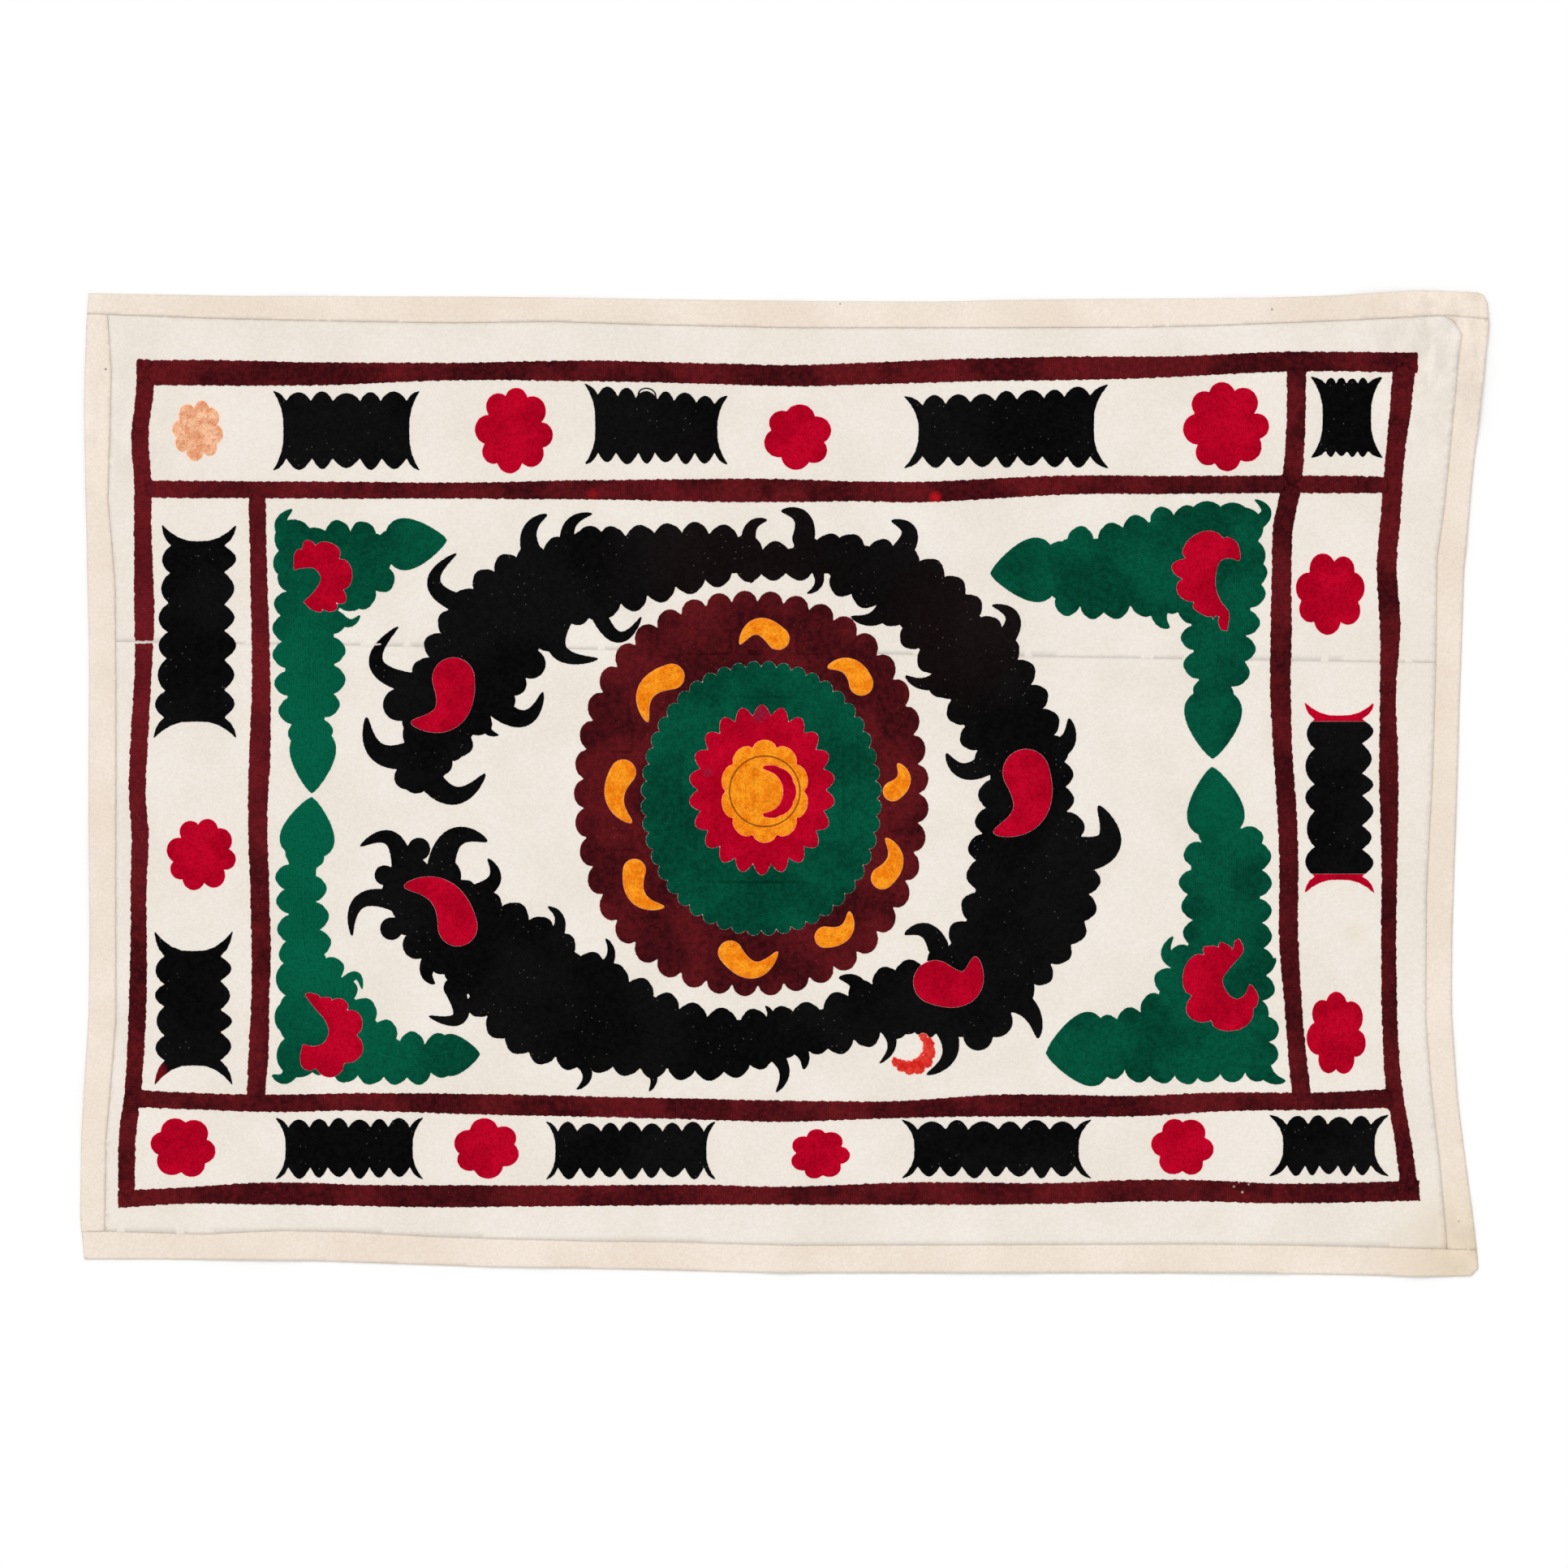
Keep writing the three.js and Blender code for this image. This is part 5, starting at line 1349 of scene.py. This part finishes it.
class TABLECLOTH_OT_frame_bars(bpy.types.Operator):
    """Works the dark red bars that frame the field and the border"""

    bl_idname = "tablecloth.frame_bars"
    bl_label = "Frame bars"

    def execute(self, context):
        outlines = {name: bar_outline(rows) for name, rows in FRAME_BARS.items()}
        field = motif(list(outlines.values()))
        level, upright = field.blank(), field.blank()
        for name, outline in outlines.items():
            field.shape(outline)
            (level if name.endswith(("top", "bottom")) else upright).shape(outline)
        half = np.array([SEAM_SLIT["across"], SEAM_SLIT["up"]]) / 2
        corners = np.array([(-1, -1), (1, -1), (1, 1), (-1, 1)]) * half
        field.cut(corners + (SEAM_SLIT["x"], SEAM_SLIT["y"]), 0)
        for wobble in BAR_WOBBLES:
            field.ragged(*wobble)

        def run(places):
            return np.where(level.at(places) < upright.at(places), places[:, 0], places[:, 1])

        pad(context, "frame_lattice", field, "maroon", run)
        return {"FINISHED"}


class TABLECLOTH_OT_flowers(bpy.types.Operator):
    """Works the round heads of the border"""

    bl_idname = "tablecloth.flowers"
    bl_label = "Border flowers"

    def execute(self, context):
        for i, row in enumerate(FLOWERS):
            x, y, across, up, petals, turn, colour = row.values()
            half = np.array([across, up]) / 2
            field = Field((x, y) - half, (x, y) + half)
            field.flower(x, y, across, up, petals, turn).ragged(WOBBLE)
            pad(context, numbered("flower", i), field, colour)
        return {"FINISHED"}


class TABLECLOTH_OT_blocks(bpy.types.Operator):
    """Works the black horned blocks of the border, one with red ends"""

    bl_idname = "tablecloth.blocks"
    bl_label = "Border blocks"

    def execute(self, context):
        for i, row in enumerate(BLOCKS):
            outline = block_outline(**row)
            field = motif([outline]).shape(outline).ragged(WOBBLE)
            if i == LOOSE_LOOP["row"]:
                place, _, half = curve(LOOSE_LOOP["path"], ["half"], spacing=1)
                field.discs(np.column_stack([place, *half]))
            if i != RED_ENDED_BLOCK["row"]:
                pad(context, numbered("block", i), field, "black")
                continue
            whole, middle = field.value.copy(), RED_ENDED_BLOCK["body_half"]
            off = field.ys[None] - row["y"]
            cuts = [np.abs(off) - middle, middle + CUT_GAP - off, middle + CUT_GAP + off]
            ends = sorted(("block_red_end_01", "block_red_end_02"), key=lambda n: -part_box(n)[0].y)
            for node, colour, cut in zip([numbered("block", i), *ends], ("black", "red", "red"), cuts):
                field.value = np.maximum(whole, cut)
                pad(context, node, field, colour)
        return {"FINISHED"}


class TABLECLOTH_OT_corner_sprays(bpy.types.Operator):
    """Works the green sprays in the field's corners, each with a red sprig"""

    bl_idname = "tablecloth.corner_sprays"
    bl_label = "Corner sprays"

    def execute(self, context):
        for corner, rows in CORNERS.items():
            discs = np.vstack([
                arm_discs(rows["arm"], ARM_LOBE),
                [list(row.values()) for row in rows["buds"]],
                *[horn_discs(**row) for row in rows["horns"]],
            ])
            leaves = [leaf_outline(**row) for row in rows["leaves"]]
            sprig = sprig_outline(rows["sprig"], **SPRIG_LOBES)
            field = motif([discs, *leaves], MOTIF_MARGIN).discs(discs)
            for leaf in leaves:
                field.shape(leaf)
            field.ragged(WOBBLE).cut(sprig)
            pad(context, f"corner_spray_{corner}", field, "green", from_line(rows["arm"]))
            field = motif([sprig]).shape(sprig).ragged(FINE_WOBBLE)
            pad(context, f"corner_sprig_{corner}", field, "red")
        return {"FINISHED"}


class TABLECLOTH_OT_vine(bpy.types.Operator):
    """Works the black vine with its red drops and the half-worked crescent beside it"""

    bl_idname = "tablecloth.vine"
    bl_label = "Vine"

    def execute(self, context):
        discs = np.vstack([
            arm_discs(VINE_SPINE, VINE_LOBE),
            [list(row.values()) for row in [*VINE_BUDS, *VINE_SWELLS]],
            *[horn_discs(**row) for row in VINE_HORNS],
        ])
        field = motif([discs], MOTIF_MARGIN).discs(discs).ragged(WOBBLE)
        for i, row in enumerate(VINE_PAISLEYS):
            drop = drop_discs(**row)
            red = motif([drop], row["radius"]).discs(drop).ragged(FINE_WOBBLE)
            pad(context, numbered("vine_paisley", i), red, "red")
            field.cut_field(field.blank().discs(drop).ragged(FINE_WOBBLE))
        crescent = sprig_outline(UNFINISHED, **UNFINISHED_LOBES)
        field.cut(crescent).cut(HORN_SLIT)
        pad(context, "vine", field, "black", from_line(VINE_SPINE))
        field = motif([crescent]).shape(crescent).ragged(*FRAYED_WOBBLE)
        pad(context, "unfinished_crescent", field, "coral")
        return {"FINISHED"}


class TABLECLOTH_OT_medallion(bpy.types.Operator):
    """Works the rings, the rosette and the drops of the medallion"""

    bl_idname = "tablecloth.medallion"
    bl_label = "Medallion"

    def execute(self, context):
        rings = {name: ring_outline(**row) for name, row in MEDALLION.items()}
        crescent = sprig_outline(CENTRE_CRESCENT, **CRESCENT_LOBES)
        drops = [drop_discs(**row) for row in MEDALLION_PAISLEYS]
        work = (
            ("medallion_outer_ring", "maroon", rings["maroon"], rings["green"], WOBBLE),
            ("medallion_green_ring", "green", rings["green"], rings["red"], WOBBLE),
            ("medallion_red_ring", "red", rings["red"], rings["rosette"], WOBBLE),
            ("medallion_rosette", "orange", rings["rosette"], crescent, WOBBLE),
            ("medallion_crescent", "red", crescent, None, LEAST_WOBBLE),
        )
        for node, colour, outline, inner, wobble in work:
            field = motif([outline]).shape(outline).ragged(wobble)
            if inner is not None:
                field.cut(inner)
            if colour == "maroon":
                for drop in drops:
                    field.cut_field(field.blank().discs(drop).ragged(FINE_WOBBLE))
            pad(context, node, field, colour)
        for i, (row, drop) in enumerate(zip(MEDALLION_PAISLEYS, drops)):
            field = motif([drop], row["radius"]).discs(drop).ragged(FINE_WOBBLE)
            pad(context, numbered("medallion_paisley", i), field, "orange")
        return {"FINISHED"}


class TABLECLOTH_OT_stage(bpy.types.Operator):
    """Sets the pale floor, the soft light and the camera straight above"""

    bl_idname = "tablecloth.stage"
    bl_label = "Stage"

    def execute(self, context):
        bpy.ops.object.select_all(action="DESELECT")
        bpy.ops.mesh.primitive_plane_add(size=FLOOR["size"], location=(0, 0, FLOOR["z"]))
        floor = context.object
        floor.name = "floor"
        finish = Finish("floor_paper")
        tone = finish.mix(*(linear(*tone) for tone in FLOOR["tones"]), finish.noise(0.7))
        floor.data.materials.append(finish.close(tone, finish.noise(0.01), FLOOR["relief"], COTTON_ROUGHNESS))
        world = bpy.data.worlds.new("studio")
        context.scene.world = world
        world.use_nodes = True
        back = world.node_tree.nodes["Background"]
        back.inputs["Color"].default_value = (1, 1, 1, 1)
        back.inputs["Strength"].default_value = WORLD_STRENGTH
        bpy.ops.object.light_add(type="SUN", location=SUN["place"])
        sun = context.object
        sun.name = "window_light"
        sun.data.energy = SUN["strength"]
        sun.data.angle = math.radians(SUN["spread"])
        sun.rotation_euler = Vector(SUN["towards"]).to_track_quat("Z", "Y").to_euler()
        distance = VIEW_WIDTH * VIEW_LENS / VIEW_SENSOR
        bpy.ops.object.camera_add(location=(*VIEW_OFFSET, distance), rotation=(0, 0, 0))
        camera = context.object
        camera.data.lens = VIEW_LENS
        camera.data.sensor_width = VIEW_SENSOR
        camera.data.clip_end = VIEW_FAR
        context.scene.camera = camera
        context.scene.view_settings.view_transform = "Standard"
        return {"FINISHED"}


class TABLECLOTH_PT_panel(bpy.types.Panel):
    """Lists the sizes, the colours and the operators"""

    bl_label = "Tablecloth"
    bl_idname = "TABLECLOTH_PT_panel"
    bl_space_type = "VIEW_3D"
    bl_region_type = "UI"
    bl_category = "Tablecloth"

    def draw(self, context):
        for group in (sizes_of(context), colours_of(context)):
            for name in group.bl_rna.properties.keys():
                if name not in ("rna_type", "name"):
                    self.layout.prop(group, name)
        for operator in OPERATORS:
            self.layout.operator(operator.bl_idname)


OPERATORS = (
    TABLECLOTH_OT_ground,
    TABLECLOTH_OT_bands,
    TABLECLOTH_OT_frame_bars,
    TABLECLOTH_OT_flowers,
    TABLECLOTH_OT_blocks,
    TABLECLOTH_OT_corner_sprays,
    TABLECLOTH_OT_vine,
    TABLECLOTH_OT_medallion,
    TABLECLOTH_OT_stage,
)
CLASSES = (TableclothSizes, TableclothColours, *OPERATORS, TABLECLOTH_PT_panel)


def register():
    for kind in CLASSES:
        bpy.utils.register_class(kind)
    bpy.types.Scene.tablecloth_sizes = bpy.props.PointerProperty(type=TableclothSizes)
    bpy.types.Scene.tablecloth_colours = bpy.props.PointerProperty(type=TableclothColours)


def unregister():
    del bpy.types.Scene.tablecloth_colours
    del bpy.types.Scene.tablecloth_sizes
    for kind in reversed(CLASSES):
        bpy.utils.unregister_class(kind)


def main():
    register()
    bpy.ops.object.select_all(action="DESELECT")
    bpy.ops.tablecloth.ground()
    bpy.ops.tablecloth.bands()
    bpy.ops.tablecloth.frame_bars()
    bpy.ops.tablecloth.flowers()
    bpy.ops.tablecloth.blocks()
    bpy.ops.tablecloth.corner_sprays()
    bpy.ops.tablecloth.vine()
    bpy.ops.tablecloth.medallion()
    bpy.ops.tablecloth.stage()


if __name__ == "__main__":
    main()
